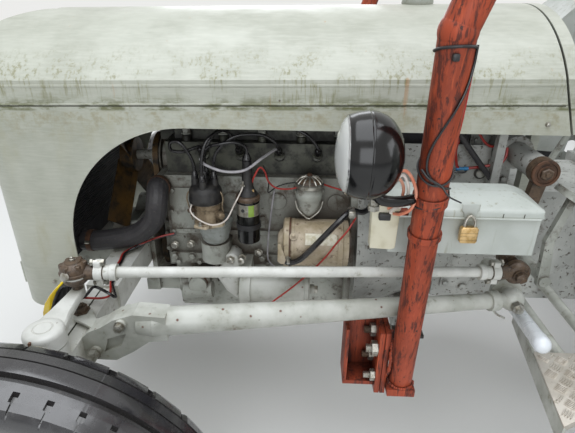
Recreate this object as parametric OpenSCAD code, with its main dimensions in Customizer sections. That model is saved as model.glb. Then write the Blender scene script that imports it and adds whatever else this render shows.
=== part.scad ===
// Light grey utility tractor of about 1950 with a bolted-on red roll-over hoop.
// X runs from the nose to the tail, Y from the tractor's left to its right, Z up from the ground.
// Modules measure X from the front axle; placed() moves them into the shared frame.

/* [Chassis] */
// Distance between the front and the rear axle
wheelbase = 1778; // [1600:1:2000]
// Distance between the front tyres' centre planes
front_track = 1422; // [1200:1:1600]
// Distance between the rear tyres' centre planes
rear_track = 1320; // [1200:1:1600]
// How far the lower links reach behind the rear axle
rear_reach = 798; // [600:1:900]
// Half width of the cylinder block
block_half_w = 135; // [100:1:170]
// Front face of the cylinder block
block_x0 = 105; // [60:1:160]
// Joint between engine and clutch housing
flange_x = 578; // [500:1:650]
// Height of the cylinder block's lower face
block_z0 = 528; // [480:1:560]
// Height of the head joint
head_z = 753; // [700:1:800]
// Underside of the sump
sump_z = 326; // [280:1:400]

// Height of the crankshaft
crank_z = 500; // [460:1:520]
// Height of the water pump and fan
pump_z = 762; // [720:1:800]
// Inlet of the water pump: X and Z
inlet = [95, 728];
// Front edge of the fan belt
belt_x = 56; // [50:1:70]
// Dynamo axis from the middle and its height
dynamo_y = 196; // [170:1:220]
// Height of the dynamo's axis
dynamo_z = 614; // [580:1:650]
// Pulley radii
crank_pulley_r = 60; // [45:1:70]
// Water pump pulley
pump_pulley_r = 54; // [40:1:70]
// Dynamo pulley
dynamo_pulley_r = 36; // [25:1:50]
// Spark plugs along the engine
plug_x = [204, 294, 388, 480];

/* [Wheels] */
// Radius of the front tyres
front_r = 345; // [300:1:400]
// Section width of the front tyres
front_section = 130; // [90:1:180]
// Radius of the front rims at the bead
front_rim_r = 241; // [180:1:260]
// Radius of the rear tyres over the lugs
rear_r = 625; // [560:1:700]
// Section width of the rear tyres
rear_section = 280; // [220:1:340]
// Radius of the rear rims at the bead
rear_rim_r = 356; // [300:1:400]
// Height of the rear tyres' lugs
lug_h = 28; // [10:1:40]
// Lugs on each side of a rear tyre
lug_n = 20; // [12:1:28]

/* [Steering] */
// Kingpin axis from the middle of the tractor
kingpin_y = 555; // [480:1:620]
// Radius of the kingpins
kingpin_r = 19; // [14:0.5:25]
// Radial clearance of turning fits
fit_gap = 0.06; // [0.02:0.01:0.1]
// Gap between a piece and the seat that carries it
seat_gap = 0.3; // [0.1:0.05:0.5]
// Height of the kingpin's top
kingpin_top = 606; // [560:1:640]
// Ball at the front of the left drag link: X, distance from the middle, Z
front_ball = [2, 426, 654];
// Ball at the rear of the left drag link: X, distance from the middle, Z
rear_ball = [899, 340, 631];
// Drop arm pivot: X and Z
drop_pivot = [928, 835];
// Slope of the steering column
column_tilt = 38; // [25:1:60]
// Radius of the steering wheel's rim
wheel_r = 216; // [180:1:240]

/* [Bonnet] */
// Half width of the bonnet at its crease
bonnet_half_w = 264; // [200:1:300]
// Height of the crease at the bonnet's rear
crease_z = 1001; // [950:1:1050]
// Height of the crown at the bonnet's rear
crown_z = 1141; // [1100:1:1200]
// Radius of the crown
crown_r = 333; // [280:1:420]
// Foremost point of the nose
nose_x = -300; // [-340:1:-250]
// Underside of the nose
nose_z = 462; // [420:1:520]
// Rear edge of the bonnet at its crown
bonnet_rear_x = 935; // [900:1:980]
// Sheet thickness
sheet = 3; // [2:0.5:5]
// Forward slope of the bonnet in degrees
bonnet_tilt = 1; // [0:0.1:3]
// Height of the engine opening's upper edge
arch_z = 903; // [850:1:940]
// Front edge of the engine opening
arch_x = -80; // [-120:1:0]
// Radius of the engine opening's front corner
arch_r = 280; // [100:1:320]
// Number of grille slats
slat_n = 16; // [8:1:24]

// Axis that the bonnet tilts on: X and Z
bonnet_pivot = [-215, 502];

/* [Hoop] */
// Outside radius of the hoop's tube
hoop_r = 25.3; // [20:0.1:32]
// Foot of the left post: X, distance from the middle, Z
hoop_foot = [672, 407, 388];
// Bend of the left post: X, distance from the middle, Z
hoop_bend = [643, 521, 1105];
// Top corner of the left post: X, distance from the middle, Z
hoop_top = [905, 545, 1880];
// Height of the hoop's cross tube
hoop_z = 1960; // [1800:1:2100]

/* [Tool box] */
// Front end, rear end of the tool box
box_x = [612, 886];
// Outer face and inner face from the middle
box_y = [400, 300];
// Underside and lid joint
box_z = [705, 790];

/* [Hitch] */
// Lift arm pivot: distance behind the rear axle, and height
lift_pivot = [94, 842];
// Length of the lift arms
lift_l = 300; // [240:1:360]
// Slope of the lowered lift arms
lift_rest = -25; // [-40:1:0]
// Lower link pivot: distance behind the rear axle, distance from the middle, height
link_pivot = [24, 214, 440];
// Ball end of the lowered lower link from the middle, and its height
link_end = [360, 262];
// Radius of the hole in the lower link balls
link_hole_r = 11.2; // [10:0.1:15]
// Radius of the power take-off shaft
pto_r = 14.3; // [12:0.1:18]
// Radius of the top link pin's hole
top_hole_r = 9.7; // [8:0.1:13]

/* [Hidden] */
$fn = 64;
front_axle_x = -(wheelbase + rear_reach - front_r) / 2;
rear_x = wheelbase;
lift_x = rear_x + lift_pivot[0];
link_x = rear_x + link_pivot[0];
link_tip_x = wheelbase + rear_reach - 26;
grey = "#b9bdb8";
dirty_grey = "#8f918b";
rust_red = "#a8452f";
black = "#1d1e20";
rubber = "#232425";
steel = "#8b8a86";
brown = "#8a6b52";

// Helpers
module placed() {
    translate([front_axle_x, 0, 0])
        children();
}

// A round bar from p to q, with radius r at p and r2 at q
module bar(p, q, r, r2 = -1) {
    d = q - p;
    l = norm(d);
    translate(p)
        rotate([0, acos(d[2] / l), atan2(d[1], d[0])])
            cylinder(h = l, r1 = r, r2 = r2 < 0 ? r : r2);
}

// A lever from p to q with a knob of radius b on its end, turned as one piece
module lever(p, q, r, b) {
    d = q - p;
    l = norm(d);
    translate(p)
        rotate([0, acos(d[2] / l), atan2(d[1], d[0])])
            rotate_extrude()
                polygon([[0, 0], [r, 0], [0.8 * r, l], [0.75 * b, l + 0.3 * b], [b, l + 0.8 * b],
                    [b, l + 1.2 * b], [0.75 * b, l + 1.7 * b], [0, l + 2 * b]]);
}

// A turned piece: its profile is [radius, height] pairs, its axis d starts at p
module turned(p, profile, d = [0, 0, 1]) {
    translate(p)
        rotate([0, acos(d[2] / norm(d)), atan2(d[1], d[0])])
            rotate_extrude()
                polygon(profile);
}

// A round bar through several points, rounded at each bend
module pipe(points, r) {
    for (i = [0:len(points) - 2])
        bar(points[i], points[i + 1], r);
    for (i = [1:1:len(points) - 2])
        translate(points[i])
            sphere(r = 1.06 * r);
}

// A smooth curve through points, as m steps a span
function spline(p, m) =
    let (n = len(p), e = concat([2 * p[0] - p[1]], p, [2 * p[n - 1] - p[n - 2]]))
    concat([for (i = [0:n - 2], k = [0:m - 1]) curve_at(e[i], e[i + 1], e[i + 2], e[i + 3], k / m)], [p[n - 1]]);

function curve_at(a, b, c, d, t) =
    0.5 * (2 * b + (c - a) * t + (2 * a - 5 * b + 4 * c - d) * t * t + (3 * b - a - 3 * c + d) * t * t * t);

function unit(v) = v / norm(v);

// A normal carried along the curve's directions without twist
function carried(d, n, i = 0) =
    i >= len(d) ? [] : let (m = unit(n - (n * d[i]) * d[i])) concat([m], carried(d, m, i + 1));

// A hose of radius r through points, with n sides
module hose(points, r, n = 16, m = 5) {
    c = spline(points, m);
    k = len(c);
    q = len(points) - 1;
    d = [for (i = [0:k - 1]) i == 0 ? unit(points[1] - points[0]) :
        i == k - 1 ? unit(points[q] - points[q - 1]) : unit(c[i + 1] - c[i - 1])];
    u = carried(d, abs(d[0][2]) < 0.9 ? [0, 0, 1] : [0, 1, 0]);
    rings = [for (i = [0:k - 1], j = [0:n - 1])
        c[i] + r * (cos(360 * j / n) * u[i] + sin(360 * j / n) * cross(d[i], u[i]))];
    sides = [for (i = [0:k - 2], j = [0:n - 1], h = [0, 1])
        let (a = i * n + j, b = i * n + (j + 1) % n) h == 0 ? [a, a + n, b] : [b, a + n, b + n]];
    polyhedron(rings, concat([[for (j = [0:n - 1]) j]], sides, [[for (j = [n - 1:-1:0]) (k - 1) * n + j]]));
}

module box(x0, x1, y0, y1, z0, z1) {
    translate([x0, y0, z0])
        cube([x1 - x0, y1 - y0, z1 - z0]);
}

module rod_x(x0, x1, y, z, r) {
    translate([x0, y, z])
        rotate([0, 90, 0])
            cylinder(h = x1 - x0, r = r);
}

module rod_y(x, y0, y1, z, r) {
    translate([x, y1, z])
        rotate([90, 0, 0])
            cylinder(h = y1 - y0, r = r);
}

module rod_z(x, y, z0, z1, r) {
    translate([x, y, z0])
        cylinder(h = z1 - z0, r = r);
}

// A plate in the XZ plane from a list of points, between y0 and y1
module side_plate(points, y0, y1) {
    translate([0, y1, 0])
        rotate([90, 0, 0])
            linear_extrude(y1 - y0)
                polygon(points);
}

module both() {
    children();
    mirror([0, 1, 0])
        children();
}

module side(s) {
    if (s < 0)
        children();
    else
        mirror([0, 1, 0])
            children();
}

// Engine
module engine_block() {
    color(dirty_grey) {
        box(block_x0, flange_x - 16, -block_half_w, block_half_w - 20, block_z0, head_z);
        box(block_x0 + 12, flange_x - 30, -block_half_w - 8, -100, block_z0 + 70, block_z0 + 82);
        box(block_x0, flange_x - 16, -block_half_w - 12, block_half_w - 8, block_z0, block_z0 + 14);
        for (x = [150, 270, 385, 530])
            rod_y(x, -block_half_w - 4, -100, head_z - 62, 21);
        // Side covers
        side_plate([[114, 610], [194, 610], [194, 702], [186, 722], [122, 722], [114, 712]], -block_half_w - 5, -100);
        side_plate([[300, 616], [352, 616], [352, 648], [300, 648]], -block_half_w - 4, -100);
        // Timing cover and water pump
        box(block_x0 - 25, block_x0, -84, 84, block_z0 - 60, head_z - 40);
        rod_x(block_x0 - 27, block_x0, 0, pump_z, 48);
        rod_x(-4, block_x0 - 20, 0, pump_z, 13);
        rod_x(belt_x - 4, belt_x + 18, 0, pump_z, pump_pulley_r);
        rod_y(inlet[0], -141, -30, inlet[1], 22);
        // Crankshaft pulley
        rod_x(belt_x - 4, block_x0 - 20, 0, crank_z, crank_pulley_r);
        // Rear flange
        intersection() {
            rod_x(flange_x - 16, flange_x, 0, 560, 236);
            box(flange_x - 16, flange_x, -178, 178, block_z0, head_z + 20);
        }
        // Distributor drive housing
        rod_z(232, -176, 548, 600, 36);
        box(196, 268, -176, -120, 548, 592);
    }
}

module cylinder_head() {
    color(dirty_grey) {
        box(block_x0 + 4, flange_x - 22, -112, 108, head_z, head_z + 78);
        for (x = [160, 250, 345, 440, 530])
            rod_z(x, -96, head_z + 10, head_z + 92, 11);
        for (x = plug_x)
            turned([x, -108, head_z + 45.2], [[0, 0], [13, 0], [13, 9], [8, 11], [8, 16], [6, 18], [6, 30.9], [0, 30.9]],
                [0, -0.84, 0.543]);
        // Thermostat housing
        box(76, block_x0 + 6, -34, 34, pump_z + 52, head_z + 92);
        rod_z(92, 0, head_z + 90, head_z + 112, 20);
    }
    color(grey)
        translate([block_x0 + 22, 0, head_z + 78])
            rotate([90, 0, 90])
                linear_extrude(flange_x - block_x0 - 70)
                    intersection() {
                        translate([-82, 0])
                            square([164, 70]);
                        translate([0, -46])
                            circle(r = 116);
                    }
}

module sump() {
    color(dirty_grey) {
        translate([block_x0, 0, 0])
            rotate([90, 0, 90])
                linear_extrude(flange_x - block_x0 - 10)
                    polygon([[-147, block_z0], [147, block_z0], [147, block_z0 - 16],
                        [112, block_z0 - 30], [92, sump_z + 22], [74, sump_z],
                        [-74, sump_z], [-92, sump_z + 22], [-112, block_z0 - 30],
                        [-147, block_z0 - 16]]);
        intersection() {
            rod_x(flange_x - 14, flange_x, 0, 560, 234);
            box(flange_x - 14, flange_x, -150, 150, sump_z, block_z0);
        }
        // Oil pump cover, relief valve, drain plug
        turned([180, -100, 470], [[0, 0], [30, 0], [30, 72], [23, 78], [23, 92], [0, 94]], [0, -1, 0]);
        side_plate([[226, 474], [276, 470], [286, 500], [284, 524], [230, 526], [220, 508]], -176, -100);
        turned([125, -150, 446], [[0, 0], [18, 0], [18, 54], [21, 58], [21, 70], [14, 74], [0, 74]], [1, 0, 0.05]);
        rod_z(330, 0, sump_z - 12, sump_z + 4, 16);
    }
}

module distributor() {
    color(steel) {
        // Advance housing, body and its micrometer screw
        turned([234, -182, 600], [[0, 0], [24, 0], [30, 6], [38, 14], [41, 32], [41, 52], [38, 58], [0, 58]]);
        turned([224, -202, 654], [[0, 0], [31, 0], [33.5, 5], [33.5, 50], [36, 54], [36, 62], [0, 62]]);
        turned([250, -218, 690], [[0, 0], [9, 0], [9, 16], [6, 20], [0, 20]], [0.7, -0.7, 0]);
    }
    color(black) {
        turned([222, -206, 716], [[0, 0], [38, 0], [39, 4], [39, 14], [37.5, 18], [37.5, 30],
            [33, 39], [20, 45], [0, 46]]);
        for (t = cap_towers)
            turned([t[0], t[1], 744], [[0, 0], [9.5, 0], [9, 24], [7.5, 30], [0, 30]]);
    }
}

// Ignition leads: four to the plugs in firing order along the engine, one to the coil
module plug_leads() {
    color(rubber) {
        for (i = [0:3]) {
            end = [plug_x[i], -150.5, head_z + 72.7];
            hose(concat([[cap_towers[i][0], cap_towers[i][1], 780]], lead_routes[i],
                [[plug_x[i], -166, head_z + 82.7], end]), lead_r, 8, 4);
            bar([plug_x[i], -134.3, head_z + 62.2], [plug_x[i], -152, head_z + 73.6], 9.5, 6);
        }
        hose([[222, -206, 780], [222, -208, 826], [238, -217, 850], [262, -227, 860], [296, -222, 864],
            [318, -209, 850], [320, -206, 826]], lead_r, 8, 4);
        for (t = cap_towers)
            turned([t[0], t[1], 774.3], [[0, 0], [7, 0], [5, 14], [0, 14]]);
        turned([320, -206, 819.3], [[0, 0], [9, 0], [5, 12], [0, 12]]);
    }
}

lead_r = 3.8;
// Towers of the distributor cap for plugs 1 to 4 and the coil
cap_towers = [[200, -206], [222, -228], [244, -206], [222, -184], [222, -206]];
lead_routes = [
    [[198, -208, 815], [176, -212, 856], [152, -206, 856], [148, -192, 834], [172, -182, 828]],
    [[224, -234, 822], [238, -227, 868], [268, -200, 884], [288, -180, 862]],
    [[250, -208, 830], [290, -206, 870], [345, -190, 874], [378, -178, 856]],
    [[222, -180, 830], [268, -170, 886], [380, -164, 890], [450, -168, 870]]
];

module ignition_coil() {
    color(black)
        turned([320, -206, 618], [[0, 0], [25, 0], [27, 3], [27, 104], [28.2, 107], [28.2, 115], [25, 119],
            [21, 126], [15, 134], [12.5, 150], [11, 184], [10, 201], [0, 201]]);
    color(steel) {
        rod_z(320, -206, 655, 667, 29.5);
        box(306, 334, -182, -block_half_w, 655, 667);
        for (x = [307, 333])
            turned([x, -214, 736], [[0, 0], [6, 0], [6, 7], [3, 7], [3, 17], [0, 17]]);
    }
}

module starter_motor() {
    color(brown) {
        turned([390, -206, 615], [[0, 0], [20, 0], [29, 5], [34, 12], [56, 13], [59, 16], [59, 31], [57, 33],
            [57, 140], [58.5, 142], [58.5, 152], [55, 155], [55, 166], [0, 166]], [1, 0, 0]);
        rod_x(550, flange_x - 16, -200, 615, 46);
        // Pole screws and the terminal
        for (x = [462, 508])
            rod_y(x, -266, -250, 615, 9);
        turned([428, -252, 648], [[0, 0], [9, 0], [9, 12], [5, 14], [5, 24], [0, 24]], [0, -0.75, 0.66]);
    }
    color(dirty_grey)
        box(430, 540, -170, -block_half_w - 8, 590, 640);
}

module oil_filter() {
    color(grey) {
        turned([322, -206, 480], [[0, 0], [36, 0], [36, 133], [38, 136], [38, 144], [34, 148], [0, 148]], [1, 0, 0]);
    }
    color(dirty_grey) {
        rod_x(296, 322, -206, 480, 42);
        box(292, 322, -206, -block_half_w - 12, 446, block_z0 + 14);
        rod_x(470, 482, -206, 480, 12);
    }
}

module oil_filler() {
    color(dirty_grey) {
        turned([462, -178, 674], [[0, 0], [16, 0], [24, 8], [27, 18], [28, 44], [32, 50], [32, 62], [28, 66], [28, 74], [0, 74]]);
        rod_y(462, -178, -block_half_w, 706, 17);
        rod_y(462, -block_half_w - 8, -block_half_w, 706, 30);
        // Three lobes of the flange
        for (a = [90, 210, 330])
            rod_y(462 + 32 * cos(a), -block_half_w - 11, -block_half_w, 706 + 32 * sin(a), 9);
    }
    color(black) {
        turned([462, -178, 748], [[0, 0], [31, 0], [33.5, 3], [33.5, 9], [30, 17], [22, 25], [12, 30], [0, 31]]);
        for (a = [0:36:324])
            bar([462 + 8 * cos(a), -178 + 8 * sin(a), 778.5], [462 + 31 * cos(a), -178 + 31 * sin(a), 764], 2.6);
        rod_z(462, -178, 770, 786, 7);
    }
}

module manifold() {
    color(rust_red)
        mirror([0, 1, 0]) {
            rod_x(150, 540, -150, 745, 26);
            for (x = [170, 300, 400, 525]) {
                rod_y(x, -150, -108, 775, 20);
                rod_z(x, -150, 745, 775, 20);
            }
            rod_z(480, -150, 700, 745, 24);
        }
    color(steel)
        mirror([0, 1, 0]) {
            rod_z(350, -176, 640, 745, 30);
            rod_z(350, -205, 600, 690, 34);
            box(320, 380, -235, -175, 640, 690);
        }
}

module exhaust_pipe() {
    color(rust_red) {
        pipe([[480, 150, 699.7], [480, 150, 650], [490, 225, 560], [520, 236, 470], [700, 236, 440],
            [800, 215, 400], [1200, 215, 400]], 19);
        rod_x(810, 1120, 215, 400, 48);
        box(902, 922, 128, 180, 390, 470);
    }
}

module dynamo() {
    color(black) {
        rod_x(110, 290, dynamo_y, dynamo_z, 52);
        rod_x(belt_x - 4, belt_x + 18, dynamo_y, dynamo_z, dynamo_pulley_r);
        rod_x(belt_x + 10, 112, dynamo_y, dynamo_z, 12);
    }
    color(dirty_grey) {
        box(130, 160, block_half_w - 8, 200, block_z0, 580);
        box(240, 270, block_half_w - 8, 200, block_z0, 580);
    }
}

module cooling_fan() {
    color("#b08a3c")
        for (a = [45:90:315])
            translate([-24, 0, pump_z])
                rotate([a, 0, 0])
                    translate([0, 30, 0])
                        rotate([0, 0, 0])
                            rotate([0, 28, 0])
                                translate([-2, 0, -34])
                                    cube([4, 172, 68]);
    color(steel)
        rod_x(-36, -4, 0, pump_z, 46);
    // Belt round the crank, pump and dynamo pulleys
    color(rubber)
        translate([belt_x, 0, 0])
            rotate([90, 0, 90])
                linear_extrude(14)
                    difference() {
                        belt_loop(8);
                        belt_loop(0.5);
                    }
}

module belt_loop(t) {
    hull()
        for (p = [[0, crank_z, crank_pulley_r], [0, pump_z, pump_pulley_r], [dynamo_y, dynamo_z, dynamo_pulley_r]])
            translate([p[0], p[1]])
                circle(r = p[2] + t);
}

module radiator() {
    color(black) {
        box(-186, -124, -206, 206, 600, 990);
        box(-196, -118, -204, 204, 985, 1030);
        box(-192, -120, -210, 210, 552, 602);
        rod_z(-158, 0, 1028, 1060, 30);
        rod_x(-130, -112, -165, 582, 19);
        rod_x(-120, -100, 0, 1008, 20);
    }
}

module coolant_hoses() {
    color(black) {
        hose([[-111.7, -165, 582], [-70, -165, 582], [20, -170, 602], [78, -176, 645],
            [inlet[0], -178, 700], [inlet[0], -160, inlet[1]], [inlet[0], -141.3, inlet[1]]], 26);
        hose([[92, 0, head_z + 112.3], [92, 0, 900], [84, 0, 960], [40, 0, 1000], [-40, 0, 1008],
            [-99.7, 0, 1008]], 23);
    }
}

module front_support() {
    arm = [[-196, 552], [-72, 552], [-52, 604], [50, 604], [50, 396], [14, 396], [14, 430],
        [38, 470], [38, 566], [-40, 566], [-40, 470], [-60, 450], [-120, 450], [-196, 520]];
    color(dirty_grey) {
        difference() {
            union() {
                side_plate(arm, -108, -88);
                side_plate(arm, 88, 108);
                box(-56, -42, -90, 90, 470, 552);
                box(40, 50, -90, 90, 470, 566);
            }
            rod_x(-70, 60, 0, 524, 17.5);
        }
        box(-196, -50, -90, 90, 543, 552);
        box(20, block_x0, -100, 100, 396, 430);
        box(-196, -172, -196, 196, 536, 552);
        // Pins that the bonnet tilts on
        both() {
            rod_y(bonnet_pivot[0], -220, -150, bonnet_pivot[1], 8);
            side_plate([[-200, 552], [-170, 552], [-190, 488], [-230, 488], [-230, 512]], -190, -176);
        }
    }
}

module axle_beam() {
    color(dirty_grey) {
        box(-36, 36, -330, 330, 492, 558);
        difference() {
            both() {
                box(-30, 30, -540, -300, 498, 552);
                rod_z(0, -kingpin_y, 440, 586, 34);
            }
            both()
                rod_z(0, -kingpin_y, 430, 600, kingpin_r + fit_gap);
        }
        rod_x(-60, 52, 0, 524, 17);
    }
}

module radius_rods() {
    a = [165, -477, 580];
    b = [902, -329, 552];
    u = unit(b - a);
    color(dirty_grey)
        both() {
            bar(a, b, 29, 16);
            // Forging that takes the tube down onto the axle
            difference() {
                side_plate([[30, 500], [30, 552], [44, 566], [70, 578], [96, 596], [136, 610], [196, 606],
                    [196, 552], [160, 548], [126, 522], [90, 500]], -498, -456);
                side_plate([[70, 520], [104, 536], [118, 566], [80, 552]], -510, -492);
            }
            bar([138, -478, 581], a + 6 * u, 25, 29);
            for (p = [[54, 524], [112, 590]])
                rod_y(p[0], -506, -450, p[1], 10);
            // Ball and its cap on the transmission
            bar(b - 46 * u, b - 26 * u, 22);
            translate([911, -327, 553])
                sphere(r = 26);
            bar([911, -327, 553], [911, -180, 553], 18);
            rod_y(911, -300, -288, 553, 34);
        }
}

// Transmission
module clutch_housing() {
    color(dirty_grey) {
        difference() {
            translate([flange_x, 0, 560])
                rotate([0, 90, 0])
                    cylinder(h = 250, r1 = 232, r2 = 150);
            box(flange_x - 1, 900, -400, 400, 250, 346);
        }
        intersection() {
            rod_x(flange_x, flange_x + 14, 0, 560, 238);
            box(flange_x, flange_x + 14, -178, 178, 346, head_z + 20);
        }
        both()
            side_plate([[820, 452], [890, 452], [898, 488], [996, 488], [996, 520], [984, 544], [900, 690], [830, 690]], -133, -100);
        box(800, rear_x - 538, -128, 128, 420, 730);
        box(rear_x - 550, rear_x - 526, -160, 160, 400, 750);
        // Member that carries the hoop
        box(700, 770, -190, 190, 330, 420);
    }
}

module rear_transmission() {
    color(dirty_grey) {
        box(rear_x - 526, rear_x - 278, -140, 140, 410, 740);
        box(rear_x - 278, rear_x + 142, -185, 185, 420, 780);
        rod_y(rear_x, -200, 200, 625, 172);
        // Side covers, level plug and fillers
        both() {
            rod_y(rear_x - 400, -148, -100, 560, 74);
            rod_y(rear_x - 330, -148, -100, 680, 26);
            turned([rear_x - 230, -180, 500], [[0, 0], [24, 0], [24, 10], [12, 12], [12, 20], [0, 20]], [0, -1, 0]);
        }
        rod_z(rear_x - 420, 60, 735, 752, 30);
        box(rear_x - 298, rear_x + 138, -155, 155, 780, 806);
        difference() {
            box(rear_x - 238, rear_x + 122, -130, 130, 806, 872);
            rod_y(lift_x, -140, 140, lift_pivot[1], 20 + fit_gap);
        }
        box(rear_x + 138, rear_x + 156, -120, 120, 470, 700);
        // Lower link pins
        both() {
            rod_y(link_x, -link_pivot[1] - 26, -150, link_pivot[2], 14);
            rod_y(link_x, -190, -150, link_pivot[2], 40);
        }
    }
    color(steel)
        rod_x(rear_x + 152, rear_x + 232, 0, 520, pto_r);
    // Top link bracket
    color(dirty_grey)
        difference() {
            both()
                side_plate([[rear_x + 142, 700], [rear_x + 212, 750], [rear_x + 226, 787],
                    [rear_x + 207, 812], [rear_x + 142, 800]], -42, -28);
            rod_y(rear_x + 198, -60, 60, 787, top_hole_r);
        }
}

module rear_axle() {
    color(dirty_grey)
        both() {
            bar([rear_x, -200, 625], [rear_x, -500, 625], 108, 78);
            rod_y(rear_x, -530, -490, 625, 128);
            rod_y(rear_x, -216, -200, 625, 150);
            rod_y(rear_x, -rear_track / 2 + seat_gap + 4, -530, 625, 34);
        }
}

// Controls and trim
module steering_box() {
    color(dirty_grey) {
        box(846, 956, -90, 90, 730, 862);
        both() {
            rod_y(drop_pivot[0], -272.5, -80, drop_pivot[1], 26);
            rod_y(drop_pivot[0], -160, -80, drop_pivot[1], 38);
        }
        bar([940, 0, 820], column_top - seat_gap * [cos(column_tilt), 0, sin(column_tilt)], 22);
    }
}

column_top = [940, 0, 820] + 436 * [cos(column_tilt), 0, sin(column_tilt)];

module steering_wheel() {
    translate(column_top)
        rotate([0, 90 - column_tilt, 0]) {
            color(black)
                translate([0, 0, 44])
                    rotate_extrude()
                        translate([wheel_r - 11, 0])
                            circle(r = 11);
            color(steel) {
                cylinder(h = 46, r = 30);
                for (a = [90, 210, 330])
                    bar([20 * cos(a), 20 * sin(a), 30], [(wheel_r - 10) * cos(a), (wheel_r - 10) * sin(a), 44], 7);
            }
        }
}

module bonnet_section(t) {
    union() {
        translate([-(bonnet_half_w - t), 300])
            square([2 * (bonnet_half_w - t), crease_z - 300]);
        intersection() {
            translate([0, crown_z - crown_r])
                circle(r = crown_r - t);
            translate([-(bonnet_half_w - t), crease_z - 5])
                square([2 * (bonnet_half_w - t), 300]);
        }
    }
}

bow_r = 500;
corner_r = 70;
corner_y = bonnet_half_w - corner_r;
corner_x = nose_x + bow_r - sqrt(pow(bow_r - corner_r, 2) - pow(corner_y, 2));

module bonnet_plan(t) {
    union() {
        translate([corner_x, -(bonnet_half_w - t)])
            square([1400, 2 * (bonnet_half_w - t)]);
        for (s = [-1, 1])
            translate([corner_x, s * corner_y])
                circle(r = corner_r - t);
        intersection() {
            translate([nose_x + bow_r, 0])
                circle(r = bow_r - t);
            polygon([[nose_x + bow_r, 0],
                [nose_x + bow_r + 2 * (corner_x - nose_x - bow_r), -2 * corner_y],
                [nose_x + bow_r + 2 * (corner_x - nose_x - bow_r), 2 * corner_y]]);
        }
    }
}

brow_r = 170;
brow_z = 1120 - brow_r;

module bonnet_side(t) {
    union() {
        translate([nose_x + t, 300])
            square([1400, brow_z - 300]);
        translate([nose_x + brow_r, 300])
            square([1400, 1200]);
        translate([nose_x + brow_r, brow_z])
            circle(r = brow_r - t);
    }
}

module bonnet_form(t) {
    intersection() {
        translate([bonnet_rear_x, 0, 0])
            rotate([0, -bonnet_tilt, 0])
                translate([-bonnet_rear_x - 500, 0, 0])
                    rotate([90, 0, 90])
                        linear_extrude(1900 + bonnet_rear_x - 500 - 300)
                            bonnet_section(t);
        translate([0, 0, 200])
            linear_extrude(1200)
                bonnet_plan(t);
        translate([0, 400, 0])
            rotate([90, 0, 0])
                linear_extrude(800)
                    bonnet_side(t);
    }
}

module bonnet() {
    color(grey) {
        difference() {
            intersection() {
                bonnet_form(0);
                side_plate([[-400, nose_z], [arch_x + 200, nose_z - 40], [bonnet_rear_x + 50, 700],
                    [bonnet_rear_x + 40, 905], [bonnet_rear_x + 3, 1010],
                    [bonnet_rear_x, 1200], [-400, 1200]], -300, 300);
            }
            bonnet_form(sheet);
            // Groove below the crease, where the upper sheet laps the sides
            difference() {
                translate([bonnet_rear_x, 0, 0])
                    rotate([0, -bonnet_tilt, 0])
                        box(-1600, 60, -330, 330, crease_z - 40, crease_z - 37.5);
                bonnet_form(1.2);
            }
            // Engine openings
            translate([0, 300, 0])
                rotate([90, 0, 0])
                    linear_extrude(600)
                        union() {
                            translate([arch_x, 300])
                                square([1200, arch_z - arch_r - 300]);
                            translate([arch_x + arch_r, 300])
                                square([1200, arch_z - 300]);
                            translate([arch_x + arch_r, arch_z - arch_r])
                                circle(r = arch_r);
                        }
            // Grille opening
            box(nose_x - 20, nose_x + 90, -176, -12, 560, 935);
            box(nose_x - 20, nose_x + 90, 12, 176, 560, 935);
        }
        // Hinge straps
        both()
            difference() {
                side_plate([[-262, 480], [-205, 480], [-200, 520], [-240, 540], [-262, 540]], -212, -200);
                rod_y(bonnet_pivot[0], -240, -190, bonnet_pivot[1], 8 + fit_gap);
            }
    }
}

module grille_arc(depth, y0, y1) {
    intersection() {
        difference() {
            translate([nose_x + bow_r, 0])
                circle(r = bow_r - 4);
            translate([nose_x + bow_r, 0])
                circle(r = bow_r - 4 - depth);
        }
        translate([nose_x - 20, y0])
            square([140, y1 - y0]);
    }
}

module radiator_grille() {
    color(grey) {
        for (i = [0:slat_n - 1])
            translate([0, 0, 572 + i * 350 / (slat_n - 1)])
                linear_extrude(5)
                    grille_arc(12, -182, 182);
        for (y = [-178, -90, 0, 90, 178])
            translate([0, 0, 562])
                linear_extrude(370)
                    grille_arc(15, y - 3, y + 3);
    }
}

// Front edge of the dash cowl at its crown
dash_x = bonnet_rear_x + 5;

module dash_panel() {
    color(grey) {
        difference() {
            intersection() {
                bonnet_form(0);
                side_plate([[dash_x + 40, 905], [dash_x + 72, 905], [dash_x + 28, 1010], [dash_x + 24, 1200],
                    [dash_x, 1200], [dash_x + 3, 1010]], -300, 300);
            }
            intersection() {
                bonnet_form(sheet);
                side_plate([[dash_x - 40, 860], [dash_x + 160, 860], [dash_x + 160, 1200],
                    [dash_x - 40, 1200]], -300, 300);
            }
        }
        // Instrument panel on two legs
        intersection() {
            bonnet_form(sheet);
            side_plate([[dash_x + 50, 900], [dash_x + 54, 900], [dash_x + 18, 1010], [dash_x + 14, 1200],
                [dash_x + 10, 1200], [dash_x + 14, 1010]], -300, 300);
        }
        for (y = [-70, 70])
            turned([dash_x + 10, y, 1052], [[0, 0], [36, 0], [36, 12], [33, 15], [30, 13], [0, 13]], [1, 0, 0]);
        both()
            box(dash_x + 30, dash_x + 50, -124, -96, 730, 915);
    }
}

module fuel_tank() {
    color(dirty_grey) {
        translate([250, 0, 0])
            rotate([90, 0, 90])
                linear_extrude(660)
                    intersection() {
                        translate([-215, 925])
                            square([430, 160]);
                        translate([0, 768])
                            circle(r = 333);
                    }
        box(300, 330, -240, 240, 905, 925);
        box(860, 890, -200, 200, 905, 925);
        both() {
            box(866, 884, -200, -180, 700, 910);
            box(866, 884, -200, -128 - seat_gap, 700, 712);
        }
        box(300, 330, -20, 20, head_z + 148 + seat_gap, 905);
    }
}

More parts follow.
